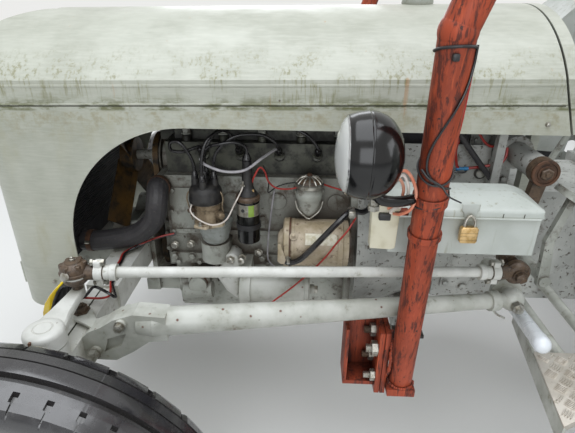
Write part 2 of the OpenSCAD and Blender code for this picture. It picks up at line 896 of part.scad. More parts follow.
module battery() {
    color(black) {
        box(668, 834, -110, 110, 780, 890);
        for (y = [-70, 0, 70])
            rod_z(751, y, 888, 898, 16);
        for (y = [-88, 88])
            rod_z(700, y, 888, 900, 9);
    }
    color(grey) {
        box(660, 872, -156, -150, 742, 850);
        box(660, 840, -150, 150, 772, 780);
        box(804, 840, -100, 100, 730, 772);
    }
}

module tool_box() {
    color(grey) {
        difference() {
            box(box_x[0], box_x[1], -box_y[0], -box_y[1], box_z[0], box_z[1]);
            box(box_x[0] + 3, box_x[1] - 3, -box_y[0] + 3, -box_y[1] - 3, box_z[0] + 3, box_z[1] + 5);
        }
        box(804, 840, -box_y[1], -128, 712, 722);
        box(640, 670, -box_y[1], -156, 772, 778);
        rod_x(box_x[0] + 20, box_x[0] + 80, -box_y[1] + 4, box_z[1] - 2, 6 - seat_gap);
        rod_x(box_x[1] - 80, box_x[1] - 20, -box_y[1] + 4, box_z[1] - 2, 6 - seat_gap);
    }
}

module tool_box_lid() {
    color(grey)
        difference() {
            side_x = 5;
            translate([box_x[0] - side_x, 0, 0])
                rotate([90, 0, 90])
                    linear_extrude(box_x[1] - box_x[0] + 2 * side_x)
                        polygon([[-box_y[0] - 5, box_z[1] - 8], [-box_y[0] - 5, box_z[1] + 8],
                            [-box_y[0] + 18, box_z[1] + 20], [-box_y[1] - 6, box_z[1] + 26],
                            [-box_y[1] - 2, box_z[1] + 20], [-box_y[1] - 2, box_z[1] + 2]]);
            translate([box_x[0] - 1, 0, 0])
                rotate([90, 0, 90])
                    linear_extrude(box_x[1] - box_x[0] + 2)
                        polygon([[-box_y[0] - 1, box_z[1] - 20], [-box_y[0] - 1, box_z[1] + 5],
                            [-box_y[0] + 20, box_z[1] + 16], [-box_y[1] - 6, box_z[1] + 21],
                            [-box_y[1] - 5, box_z[1] + 1], [-box_y[1] + 6, box_z[1] + 1],
                            [-box_y[1] + 6, box_z[1] - 20]]);
        }
    color("#b08a3c") {
        // Hasp, and the padlock with its shackle
        side_plate([[736, 812], [768, 812], [768, 800], [762, 792], [761, 776], [743, 776], [742, 792], [736, 800]],
            -box_y[0] - 9, -box_y[0] - 5);
        side_plate([[737, 732], [741, 728], [763, 728], [767, 732], [767, 753], [763, 757], [741, 757], [737, 753]],
            -box_y[0] - 22, -box_y[0] - 9);
        for (x = [743, 761])
            rod_z(x, -box_y[0] - 11, 750, 770, 2.5);
        translate([752, -box_y[0] - 11, 770])
            rotate([90, 0, 0])
                rotate_extrude(angle = 180)
                    translate([9, 0])
                        circle(r = 2.5, $fn = 32);
    }
}

module seat() {
    color(grey) {
        intersection() {
            difference() {
                translate([rear_x + 22, 0, 1400])
                    sphere(r = 420);
                translate([rear_x + 22, 0, 1400])
                    sphere(r = 415);
                // Holes that keep the pan dry
                for (x = [-90, -20, 130], y = [-120, -60, 60, 120])
                    rod_z(rear_x + 22 + x, y, 900, 1100, 11);
            }
            translate([rear_x + 22, 0, 900])
                linear_extrude(200)
                    intersection() {
                        circle(r = 238);
                        translate([-190, -225])
                            square([380, 450]);
                    }
        }
        box(rear_x - 218, rear_x + 72, -30, 30, 872, 884);
        box(rear_x + 2, rear_x + 42, -36, 36, 872, 982);
    }
}

module fenders() {
    color(grey)
        both() {
            difference() {
                rod_y(rear_x, -722, -468, 625, 692);
                rod_y(rear_x, -730, -472, 625, 689);
                rod_y(rear_x, -730, -460, 625, 380);
                translate([rear_x, 0, 625])
                    rotate([0, 0, 0])
                        side_plate([[0, 0], [900, 420], [900, -900], [-900, -900], [-900, 60]], -800, -400);
            }
            box(rear_x - 300, rear_x + 260, -480, -466, 860, 900);
            // Struts and the pad they share on the axle housing
            bar([rear_x - 120, -470, 880], [rear_x - 44, -440, 720], 14);
            bar([rear_x + 120, -470, 880], [rear_x + 44, -440, 720], 14);
            box(rear_x - 66, rear_x + 66, -470, -410, 712 + seat_gap, 728);
        }
}

module footplates() {
    color("#a9adac")
        both() {
            translate([0, 0, 478])
                linear_extrude(5)
                    polygon([[965, -250], [905, -600], [1120, -500], [1120, -170], [965, -170]]);
            translate([0, 0, 440])
                linear_extrude(43)
                    polygon([[959, -285], [905, -600], [911, -600], [965, -285]]);
        }
    color(grey)
        both() {
            // Capped tube across the front edge
            turned([968, -250, 473], [[0, 0], [20, 0], [20, 184], [22.5, 188], [22.5, 236], [19, 245], [11, 250], [0, 252]],
                [-58, -230, 79]);
            rod_y(1000, -480, -128, 466, 12);
            rod_y(1090, -440, -128, 466, 12);
        }
}

module controls() {
    color(dirty_grey) {
        // Pedals on cross shafts
        for (s = [-1, 1]) {
            rod_y(1010, s < 0 ? -268 : 128, s < 0 ? -128 : 268, 560, 13);
            side_plate([[996, 546], [1022, 548], [1008, 660], [1030, 772], [1018, 780], [988, 664]],
                s < 0 ? -262 : 248, s < 0 ? -248 : 262);
            translate([1014, s * 255, 766])
                rotate([0, 30, 0])
                    cylinder(h = 14, r = 36);
        }
        // Gear lever and linkage lever
        rod_z(1060, -40, 730, 758, 32);
        lever([1060, -42, 750], [1104, -92, 950], 8, 19);
        rod_z(rear_x - 78, 144, 806, 822, 13);
        lever([rear_x - 78, 146, 815], [rear_x - 138, 200, 980], 7, 15);
    }
}

module roll_hoop() {
    foot = [hoop_foot[0], -hoop_foot[1], hoop_foot[2]];
    bend = [hoop_bend[0], -hoop_bend[1], hoop_bend[2]];
    top = [hoop_top[0], -hoop_top[1], hoop_top[2]];
    color(rust_red) {
        both() {
            pipe([foot, bend, top, [932, -470, hoop_z]], hoop_r);
            translate([932, -470, hoop_z])
                sphere(r = 1.02 * hoop_r);
        }
        rod_y(932, -470, 470, hoop_z, hoop_r);
    }
}

module hoop_brackets() {
    color(rust_red)
        both() {
            // Open box beside the post, and the post's foot plate
            box(546, 640, -404, -338, 364, 374);
            box(546, 554, -404, -338, 364, 516);
            box(546, 640, -346, -338, 364, 516);
            box(640, 700, -436, -376, 364, 383);
            box(628, 640, -414, -338, 350, 516);
        }
    color(dirty_grey)
        both() {
            box(616, 628, -414, -338, 350, 516);
            // Bolts through both plates: y, z and end
            for (bolt = [[-400, 390, 642], [-398, 464, 642], [-358, 412, 655], [-358, 482, 655]])
                rod_x(592, bolt[2], bolt[0], bolt[1], 8);
            box(600, 632, -338, -190, 352, 420);
            box(632, 770, -230, -190, 352, 362);
        }
}

module headlamps() {
    both() {
        color(black) {
            // Bowl with its seam, and the rim
            turned([508, -500, 928], [[0, 0], [67, 0], [67.5, 19], [66, 20.5], [67.3, 22], [66, 42], [62, 58], [54, 71],
                [42, 82], [26, 89], [10, 91], [0, 91]], [1, 0, 0]);
            turned([497.5, -500, 928], [[0, 0], [64, 0], [69, 1.5], [71, 5], [71, 8.5], [68, 10.5], [0, 10.5]], [1, 0, 0]);
            bar([560, -500, 880], [600, -498, 852], 10);
            bar([596, -498, 852], [624, -485.2, 852], 12);
            hoop_clamp(852, 30);
        }
        color("#d8dde0")
            turned([492.5, -500, 928], [[0, 0], [25, 0.6], [48, 2.6], [63, 5], [0, 5]], [1, 0, 0]);
        color("#e4e2da") {
            side_plate([[566, 744], [572, 738], [610, 738], [616, 744], [616, 822], [608, 828], [574, 828], [566, 820]], -452, -430);
            box(600, 628, -466, -440, 775, 790);
        }
        color(black)
            hoop_clamp(782, 16);
    }
}

// A split band round the left post at height z
module hoop_clamp(z, h) {
    foot = [hoop_foot[0], -hoop_foot[1], hoop_foot[2]];
    bend = [hoop_bend[0], -hoop_bend[1], hoop_bend[2]];
    d = bend - foot;
    c = foot + d * (z - foot[2]) / d[2];
    translate(c)
        rotate([0, acos(d[2] / norm(d)), atan2(d[1], d[0])])
            rotate_extrude(angle = 350)
                translate([hoop_r + 0.3, -h / 2])
                    square([6.7, h]);
}

module marker_lamps() {
    both() {
        color(dirty_grey) {
            box(-64, -30, -394, -366, 520, 528);
            box(-64, -58, -394, -366, 500, 560);
        }
        color(black)
            side_plate([[-100, 478], [-90, 470], [-72, 470], [-64, 480], [-64, 590], [-72, 600], [-90, 600], [-100, 592]],
                -412, -348);
        color("#e8c51e")
            side_plate([[-100, 476], [-110, 482], [-118, 500], [-118, 570], [-110, 588], [-100, 594]], -415, -345);
    }
}

// Wheels. The rims and tyres are turned about Z, then laid over so that Z points outwards.
module wheel_place(x, y, z, s) {
    side(s)
        translate([x, -y, z])
            rotate([90, 0, 0])
                children();
}

module knuckle(s) {
    side(s)
        color(dirty_grey) {
            rod_z(0, -kingpin_y, front_r - 26, kingpin_top, kingpin_r);
            rod_z(0, -kingpin_y, 396, 439.5, 30);
            rod_z(0, -kingpin_y, 586.5, 622, 30);
            translate([0, -kingpin_y, front_r])
                sphere(r = 34);
            rod_z(0, -kingpin_y, front_r, 400, 26);
            rod_y(0, -front_track / 2 - 24, -kingpin_y, front_r, 17);
            rod_y(0, -kingpin_y - 44, -kingpin_y, front_r, 26);
            bar([0, -kingpin_y, 606], [front_ball[0], -front_ball[1] + 6, 612], 18, 12);
            rod_z(front_ball[0], -front_ball[1], 606, front_ball[2] - 25.5, 11);
        }
}

module drag_link(s) {
    p = [front_ball[0], -front_ball[1], front_ball[2]];
    q = [rear_ball[0], -rear_ball[1], rear_ball[2]];
    u = (q - p) / norm(q - p);
    side(s) {
        color(grey)
            bar(p + 34 * u, q - 34 * u, 11);
        color(brown) {
            bar(p + 22 * u, p + 70 * u, 15);
            bar(q - 70 * u, q - 20 * u, 15);
            bar(p + 70 * u, p + 82 * u, 17);
            bar(q - 82 * u, q - 70 * u, 17);
            // Ball sockets, the front one upright and the rear one crosswise
            turned(p - [0, 0, 25], [[0, 0], [15, 0], [17, 5], [24, 12], [25, 20], [25, 32], [21, 40], [14, 43], [14, 50], [0, 50]]);
            turned(q + [0, 20, 0], [[0, 0], [13, 0], [15, 4], [23, 10], [25, 16], [25, 26], [20, 33], [13, 35], [13, 40], [0, 40]],
                [0, -1, 0]);
        }
    }
}

module drop_arm(s) {
    side(s)
        color(dirty_grey) {
            rod_y(drop_pivot[0], -296, -273, drop_pivot[1], 28);
            side_plate([[drop_pivot[0] - 14, drop_pivot[1] + 2], [drop_pivot[0] + 14, drop_pivot[1] - 2],
                [rear_ball[0] + 11, rear_ball[2] - 2], [rear_ball[0] - 11, rear_ball[2] + 2]], -294, -276);
            rod_y(rear_ball[0], -306, -273, rear_ball[2], 18);
        }
}

module front_rim(s) {
    w = front_track / 2;
    b = front_rim_r;
    wheel_place(0, w, front_r, s)
        color(grey) {
            rotate_extrude()
                polygon([[b + 12, -50], [b + 12, -44], [b, -44], [b, -22], [b - 24, -14], [b - 24, 14],
                    [b, 22], [b, 44], [b + 12, 44], [b + 12, 50], [b - 5, 50], [b - 5, 26],
                    [b - 29, 17], [b - 29, -17], [b - 5, -26], [b - 5, -50]]);
            difference() {
                rotate_extrude()
                    polygon([[30, 10], [95, 10], [150, 26], [216, 10], [216, 4], [150, 18],
                        [95, 2], [30, 2]]);
                for (a = [0:60:300])
                    rotate([0, 0, a])
                        translate([168, 0, -20])
                            cylinder(h = 60, r = 20);
            }
            difference() {
                translate([0, 0, -44])
                    cylinder(h = 88, r = 44);
                translate([0, 0, -50])
                    cylinder(h = 76, r = 17 + fit_gap);
            }
            for (a = [30:60:330])
                rotate([0, 0, a])
                    translate([72, 0, 8])
                        cylinder(h = 16, r = 10);
        }
}

module front_tyre(s) {
    w = front_track / 2;
    h = front_section / 2;
    t = front_r;
    b = front_rim_r;
    wheel_place(0, w, front_r, s)
        color(rubber)
            rotate_extrude()
                polygon([[b + 0.3, -43.7], [b + 12.4, -43.7], [b + 13, -51], [b + 30, -h + 6], [b + 58, -h], [t - 22, -h + 5],
                    [t - 9, -h + 14], [t - 6, -32], [t - 13, -30], [t - 13, -24], [t - 3, -22],
                    [t - 1, -10], [t - 10, -8], [t - 10, -4], [t, -3], [t, 3], [t - 10, 4],
                    [t - 10, 8], [t - 1, 10], [t - 3, 22], [t - 13, 24], [t - 13, 30],
                    [t - 6, 32], [t - 9, h - 14], [t - 22, h - 5], [b + 58, h],
                    [b + 30, h - 6], [b + 13, 51], [b + 12.4, 43.7], [b + 0.3, 43.7]]);
}

module rear_rim(s) {
    w = rear_track / 2;
    b = rear_rim_r;
    wheel_place(rear_x, w, rear_r, s)
        color(grey) {
            rotate_extrude()
                polygon([[b + 18, -116], [b + 18, -109], [b, -109], [b, -52], [b - 28, -38],
                    [b - 28, 38], [b, 52], [b, 109], [b + 18, 109], [b + 18, 116],
                    [b - 6, 116], [b - 6, 57], [b - 34, 43], [b - 34, -43],
                    [b - 6, -57], [b - 6, -116]]);
            difference() {
                rotate_extrude()
                    polygon([[50, 20], [150, 20], [240, -20], [b - 30, -20], [b - 30, -12],
                        [240, -12], [150, 30], [50, 30]]);
                for (a = [0:45:315])
                    rotate([0, 0, a])
                        translate([258, 0, -60])
                            cylinder(h = 120, r = 26);
            }
            // Brake drum and hub
            difference() {
                translate([0, 0, -96])
                    cylinder(h = 118, r = 178);
                translate([0, 0, -110])
                    cylinder(h = 106, r = 166);
            }
            cylinder(h = 78, r = 56);
            for (a = [22.5:45:337.5])
                rotate([0, 0, a])
                    translate([101.6, 0, 28])
                        cylinder(h = 20, r = 12);
        }
}

module rear_tyre(s) {
    w = rear_track / 2;
    b = rear_rim_r;
    t = rear_r;
    c = rear_r - lug_h;
    h = rear_section / 2;
    wheel_place(rear_x, w, rear_r, s)
        color(rubber) {
            rotate_extrude()
                polygon([[b + 0.3, -108.7], [b + 18.4, -108.7], [b + 19, -117], [b + 60, -h + 8], [b + 120, -h], [b + 180, -h + 10],
                    [c - 30, -h + 22], [c - 6, -70], [c, 0], [c - 6, 70], [c - 30, h - 22],
                    [b + 180, h - 10], [b + 120, h], [b + 60, h - 8], [b + 19, 117], [b + 18.4, 108.7], [b + 0.3, 108.7]]);
            // Each lug is an inner and an outer bar, bent back at the shoulder
            for (i = [0:lug_n - 1], m = [0, 1])
                rotate([0, 0, (i + m / 2) * 360 / lug_n])
                    mirror([0, 0, m]) {
                        lug_bar(-8, 72, 0, 5.6, t - 1, 42);
                        lug_bar(58, h - 4, 5.2, 9.4, t - 5, 52);
                    }
        }
}

// One bar of a lug from z0 to z1 across the tread and from angle a0 to a1 round it
module lug_bar(z0, z1, a0, a1, top_r, w) {
    am = (a0 + a1) / 2;
    reach = top_r * sin((a1 - a0) / 2);
    rotate([0, 0, am])
        translate([top_r - 46, 0, 0])
            rotate([90, 0, 90])
                linear_extrude(46)
                    polygon([[-reach - w / 2, z0], [-reach + w / 2, z0], [reach + w / 2, z1], [reach - w / 2, z1]]);
}

// Hitch
module lift_arms() {
    a = lift_rest;
    tip = [lift_x + lift_l * cos(a), lift_pivot[1] + lift_l * sin(a)];
    color(dirty_grey) {
        both() {
            rod_y(lift_x, -200, -131, lift_pivot[1], 24);
            rod_y(lift_x, -200, -160, lift_pivot[1], 42);
            bar([lift_x, -180, lift_pivot[1]], [tip[0], -212, tip[1]], 24, 16);
            rod_y(tip[0], -270 + seat_gap, -196, tip[1], 15);
        }
        rod_y(lift_x, -134, 134, lift_pivot[1], 20);
    }
}

module lift_rod(s) {
    a = lift_rest;
    tip = [lift_x + lift_l * cos(a), lift_pivot[1] + lift_l * sin(a)];
    v = [link_tip_x - link_x, link_end[1] - link_pivot[2]];
    foot = [link_x + 400 * v[0] / norm(v), link_pivot[2] + 400 * v[1] / norm(v)];
    y0 = -276;
    side(s)
        color(dirty_grey) {
            difference() {
                rod_y(tip[0], -288, -253, tip[1], 26);
                rod_y(tip[0], -270, -250, tip[1], 15 + fit_gap);
            }
            bar([tip[0], -270, tip[1] - 20], [foot[0], -256, foot[1] + 66], 11);
            rod_y(foot[0], -262, -244, foot[1] + 50, 20);
        }
}

module lower_link(s) {
    p = [link_x, -link_pivot[1], link_pivot[2]];
    q = [link_tip_x, -link_end[0], link_end[1]];
    side(s)
        color(dirty_grey) {
            difference() {
                union() {
                    rod_y(p[0], p[1] - 13, p[1] + 13, p[2], 32);
                    bar(p + [24, -4, -6], q - [20, -4, -6], 17);
                    rod_y(q[0], q[1] - 16, q[1] + 16, q[2], 26);
                }
                rod_y(p[0], p[1] - 20, p[1] + 20, p[2], 14 + fit_gap);
                rod_y(q[0], q[1] - 30, q[1] + 30, q[2], link_hole_r);
            }
        }
}

module knuckle_left() knuckle(-1);
module knuckle_right() knuckle(1);
module front_rim_left() front_rim(-1);
module front_rim_right() front_rim(1);
module front_tyre_left() front_tyre(-1);
module front_tyre_right() front_tyre(1);
module rear_rim_left() rear_rim(-1);
module rear_rim_right() rear_rim(1);
module rear_tyre_left() rear_tyre(-1);
module rear_tyre_right() rear_tyre(1);
module drag_link_left() drag_link(-1);
module drag_link_right() drag_link(1);
module drop_arm_left() drop_arm(-1);
module drop_arm_right() drop_arm(1);
module lift_rod_left() lift_rod(-1);
module lift_rod_right() lift_rod(1);
module lower_link_left() lower_link(-1);
module lower_link_right() lower_link(1);

placed() {
    engine_block();
    cylinder_head();
    sump();
    distributor();
    plug_leads();
    ignition_coil();
    starter_motor();
    oil_filter();
    oil_filler();
    manifold();
    exhaust_pipe();
    dynamo();
    cooling_fan();
    radiator();
    coolant_hoses();
    front_support();
    axle_beam();
    radius_rods();
    clutch_housing();
    rear_transmission();
    rear_axle();
    steering_box();
    dash_panel();
    fuel_tank();
    battery();
    tool_box();
    seat();
    fenders();
    footplates();
    controls();
    roll_hoop();
    hoop_brackets();
    headlamps();
    marker_lamps();
    knuckle_left();
    knuckle_right();
    front_rim_left();
    front_rim_right();
    front_tyre_left();
    front_tyre_right();
    rear_rim_left();
    rear_rim_right();
    rear_tyre_left();
    rear_tyre_right();
    drag_link_left();
    drag_link_right();
    drop_arm_left();
    drop_arm_right();
    steering_wheel();
    bonnet();
    radiator_grille();
    tool_box_lid();
    lift_arms();
    lift_rod_left();
    lift_rod_right();
    lower_link_left();
    lower_link_right();
}
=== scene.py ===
"""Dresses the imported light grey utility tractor: finishes, trim, wiring, fasteners, tyres, camera and light.

Every length in the tables is in millimetres. X is measured from the front axle towards the tail,
Y from the tractor's left (negative) to its right, and Z up from the ground.
"""

import math
import random

import bmesh
import bpy
from mathutils import Matrix, Vector


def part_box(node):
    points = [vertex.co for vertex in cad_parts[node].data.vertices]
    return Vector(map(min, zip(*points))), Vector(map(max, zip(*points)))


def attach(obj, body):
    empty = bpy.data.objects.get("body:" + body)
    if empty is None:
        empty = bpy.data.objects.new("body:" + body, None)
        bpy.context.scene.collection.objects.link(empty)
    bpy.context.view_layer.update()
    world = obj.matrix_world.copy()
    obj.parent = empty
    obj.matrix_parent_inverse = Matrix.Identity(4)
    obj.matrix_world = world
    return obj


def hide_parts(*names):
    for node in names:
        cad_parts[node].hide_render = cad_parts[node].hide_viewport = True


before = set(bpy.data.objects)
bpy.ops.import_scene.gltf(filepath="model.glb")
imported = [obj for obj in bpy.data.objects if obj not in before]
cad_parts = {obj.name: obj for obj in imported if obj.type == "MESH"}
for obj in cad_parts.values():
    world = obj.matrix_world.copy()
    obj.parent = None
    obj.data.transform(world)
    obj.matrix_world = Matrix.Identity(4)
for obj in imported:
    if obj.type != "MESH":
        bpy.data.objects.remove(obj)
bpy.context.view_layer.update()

bl_info = {
    "name": "Vintage tractor dressing",
    "version": (1, 0, 0),
    "blender": (4, 5, 0),
    "location": "View3D > Sidebar > Tractor",
    "description": "Finishes, trim, wiring, fasteners and tyres for the packed tractor",
    "category": "Object",
}

TYRE_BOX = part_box("front_tyre_left")
AXLE_X = (TYRE_BOX[0].x + TYRE_BOX[1].x) / 2
MM = 0.001
SHARP = math.radians(38)
UP, AFT, RIGHT, LEFT = (0, 0, 1), (1, 0, 0), (0, 1, 0), (0, -1, 0)
# The tractor's sides, each with its sign: a place at y on the left is at y * sign on that side
SIDES = (("left", 1), ("right", -1))

# The bonnet's rear edge, the height of its crease there, and how its lines fall towards the nose
BONNET_REAR_X, CREASE_Z, BONNET_FALL = 935.0, 1001.0, math.tan(math.radians(1.0))
# The bonnet seen from above: half its width, its nose, and the radii of the nose's bow and corners
BONNET_HALF, NOSE_X, BOW_R, CORNER_R = 264.0, -300.0, 500.0, 70.0
# The hoop's left post, from its foot to its bend
POST_FOOT, POST_BEND, POST_RADIUS = Vector((672, -407, 388)), Vector((643, -521, 1105)), 25.5
POST_ALONG = (POST_BEND - POST_FOOT).normalized()
# The left drag link's two balls, and how far the kingpins stand from the middle
FRONT_BALL, REAR_BALL, KINGPIN_Y = Vector((2, -426, 654)), Vector((899, -340, 631)), 555
# The rear axle's middle
REAR_AXLE_X, REAR_AXLE_Z = 1778, 625
# Radius of the front tyre's bead
BEAD_R = 241.0
# Camera fitted to the photo: its place, its lens, and how far it looks down, turns left and rolls, in degrees
EYE_AT, EYE_LENS, EYE_TURNS = (445.5, -1161.0, 1136.2), 28.14, (25.4, -2.0, 0.6)
# Soft lights: place and aim in metres, edge in metres and watts
LIGHTS = {
    "sky": ((-0.7, -0.7, 4.6), (-0.5, 0, 0.5), 4.5, 190),
    "front_fill": ((-0.9, -4.2, 2.0), (-0.5, 0, 0.7), 2.6, 60),
    "tail_fill": ((4.0, -1.5, 2.6), (0.2, 0, 0.7), 2.4, 45),
    "far_fill": ((-1.0, 4.4, 2.4), (-0.2, 0, 0.7), 2.6, 55),
}


def at(x, y, z):
    """The point in the frame, in metres, of a place given from the front axle in millimetres."""
    return Vector((AXLE_X + x * MM, y * MM, z * MM))


def linear(code):
    """An sRGB hex colour as the linear colour that a shader socket takes."""
    parts = [int(code[i : i + 2], 16) / 255 for i in (1, 3, 5)]
    return [c / 12.92 if c <= 0.04045 else ((c + 0.055) / 1.055) ** 2.4 for c in parts] + [1.0]


def add(tree, kind, settings=None, inputs=None):
    """Adds one node with its settings, and the values or links of its inputs."""
    made = tree.nodes.new(kind)
    for key, value in (settings or {}).items():
        setattr(made, key, value)
    for key, value in (inputs or {}).items():
        if isinstance(value, bpy.types.NodeSocket):
            tree.links.new(value, made.inputs[key])
        else:
            made.inputs[key].default_value = value
    return made


# ---------------------------------------------------------------- finishes


def empty_material(name):
    """A material with one shader; returns it with its tree, the shader and the place on the object."""
    material = bpy.data.materials.new(name)
    material.use_nodes = True
    tree = material.node_tree
    tree.nodes.clear()
    shader = add(tree, "ShaderNodeBsdfPrincipled")
    output = add(tree, "ShaderNodeOutputMaterial", {}, {"Surface": shader.outputs[0]})
    output.is_active_output = True
    place = add(tree, "ShaderNodeTexCoord").outputs["Object"]
    return material, tree, shader, place


def noise(tree, place, size_mm, detail=4.0, roughness=0.55, stretch=(1, 1, 1)):
    """A noise pattern whose grains are size_mm across, from 0 to 1. Stretch is the grain's length along X, Y and Z."""
    scaled = add(
        tree, "ShaderNodeMapping", {"vector_type": "POINT"},
        {"Vector": place, "Scale": [1 / s for s in stretch]},
    )
    pattern = add(
        tree, "ShaderNodeTexNoise", {},
        {"Vector": scaled.outputs[0], "Scale": 1000 / size_mm, "Detail": detail, "Roughness": roughness},
    )
    return pattern.outputs["Fac"]


def ramp(tree, value, low, high, bottom=0.0, top=1.0):
    """Maps a value between low and high to the range from bottom to top, smoothly."""
    return add(
        tree, "ShaderNodeMapRange", {"interpolation_type": "SMOOTHSTEP"},
        {"Value": value, "From Min": low, "From Max": high, "To Min": bottom, "To Max": top},
    ).outputs[0]


def times(tree, a, b, operation="MULTIPLY"):
    """A product, or the result of another operation, held between 0 and 1."""
    return add(tree, "ShaderNodeMath", {"operation": operation, "use_clamp": True}, {0: a, 1: b}).outputs[0]


def calculated(tree, operation, *values):
    """A sum or product of values or links, free to leave the range from 0 to 1."""
    return add(tree, "ShaderNodeMath", {"operation": operation}, dict(enumerate(values))).outputs[0]


def combined(tree, x=0, y=0, z=0):
    return add(tree, "ShaderNodeCombineXYZ", {}, {0: x, 1: y, 2: z}).outputs[0]


def mixed(tree, amount, below, above):
    """Mixes two colours, each a link or an sRGB hex code."""
    made = tree.nodes.new("ShaderNodeMix")
    made.data_type = "RGBA"
    for socket, value in ((made.inputs[0], amount), (made.inputs[6], below), (made.inputs[7], above)):
        if isinstance(value, bpy.types.NodeSocket):
            tree.links.new(value, socket)
        else:
            socket.default_value = linear(value) if isinstance(value, str) else value
    return made.outputs[2]


def bumped(tree, shader, height, depth_mm):
    """Gives a shader relief of that depth."""
    bump = add(tree, "ShaderNodeBump", {}, {"Height": height, "Distance": depth_mm * MM, "Strength": 1.0})
    tree.links.new(bump.outputs[0], shader.inputs["Normal"])


def weathered(
    name, base, shade, dirt, under, rough=0.5, metal=0.0, mottle_mm=90, dirt_mm=30, dirt_amount=0.3,
    chips=0.0, chip_mm=14, streaks=0.0, rust=0.0, grain_mm=1.5, depth_mm=0.15, coat=0.0, crevice=0.0,
    corner_mm=30,
):
    """A coat that has mottled, taken dirt, run with rain and chipped down to what lies under it, with dirt and painted
    shade in its crevices.
    """
    material, tree, shader, place = empty_material(name)
    broad = noise(tree, place, mottle_mm, 5)
    colour = mixed(tree, ramp(tree, broad, 0.35, 0.65), base, shade)
    grime = noise(tree, place, dirt_mm, 8, 0.68)
    grime_and_shade = ramp(tree, grime, 0.72 - dirt_amount * 0.45, 0.86 - dirt_amount * 0.3)
    if streaks:
        runs = noise(tree, place, 11, 5, 0.6, stretch=(1, 1, 14))
        run = ramp(tree, runs, 0.62 - 0.2 * streaks, 0.8 - 0.12 * streaks)
        grime_and_shade = times(tree, grime_and_shade, run, "ADD")
    # Crevices: ambient occlusion lays the dirt colour into corners and recesses, partly grime and partly painted shade
    if crevice:
        corner = add(tree, "ShaderNodeAmbientOcclusion", {"samples": 5}, {"Distance": corner_mm * MM})
        dark = ramp(tree, corner.outputs["AO"], 0.35, 0.95, crevice, 0.0)
        grime_and_shade = times(tree, grime_and_shade, dark, "ADD")
    colour = mixed(tree, grime_and_shade, colour, dirt)
    grain = noise(tree, place, grain_mm, 3)
    height = times(tree, grain, 0.25)
    rougher = ramp(tree, grime, 0.3, 0.7, max(rough - 0.08, 0.02), min(rough + 0.14, 1))
    if chips:
        flake = noise(tree, place, chip_mm, 7, 0.66)
        bare = ramp(tree, flake, 0.71 - 0.3 * chips, 0.735 - 0.3 * chips)
        bare_tone = mixed(tree, ramp(tree, grain, 0.3, 0.7), under, dirt)
        colour = mixed(tree, bare, colour, bare_tone)
        height = times(tree, height, times(tree, bare, 0.7), "SUBTRACT")
        height = times(tree, height, 0.7, "ADD")
        height = times(tree, height, times(tree, bare, 0.7), "SUBTRACT")
        rougher = times(tree, rougher, times(tree, bare, 0.15), "ADD")
    if rust:
        cells = add(tree, "ShaderNodeTexVoronoi", {}, {"Vector": place, "Scale": 38.0})
        dots = ramp(tree, cells.outputs["Distance"], 0.05, 0.1 + 0.05 * rust, 1.0, 0.0)
        few = ramp(tree, noise(tree, place, 60, 2), 0.62 - 0.16 * rust, 0.66 - 0.16 * rust)
        colour = mixed(tree, times(tree, dots, few), colour, "#5f3320")
    tree.links.new(colour, shader.inputs["Base Color"])
    tree.links.new(rougher, shader.inputs["Roughness"])
    shader.inputs["Metallic"].default_value = metal
    shader.inputs["Coat Weight"].default_value = coat
    shader.inputs["Coat Roughness"].default_value = 0.15
    bumped(tree, shader, height, depth_mm)
    return material


def plain(name, base, shade, rough, metal, coat, mottle_mm=20, grain_mm=0.8, depth_mm=0.04):
    """A moulded, drawn or plated finish that has stayed nearly clean."""
    material, tree, shader, place = empty_material(name)
    patch = noise(tree, place, mottle_mm, 4)
    tree.links.new(
        mixed(tree, ramp(tree, patch, 0.4, 0.7), base, shade), shader.inputs["Base Color"]
    )
    tree.links.new(ramp(tree, patch, 0.3, 0.7, rough * 0.85, min(rough * 1.2, 1)), shader.inputs["Roughness"])
    shader.inputs["Metallic"].default_value = metal
    shader.inputs["Coat Weight"].default_value = coat
    shader.inputs["Coat Roughness"].default_value = 0.06
    bumped(tree, shader, noise(tree, place, grain_mm, 2), depth_mm)
    return material


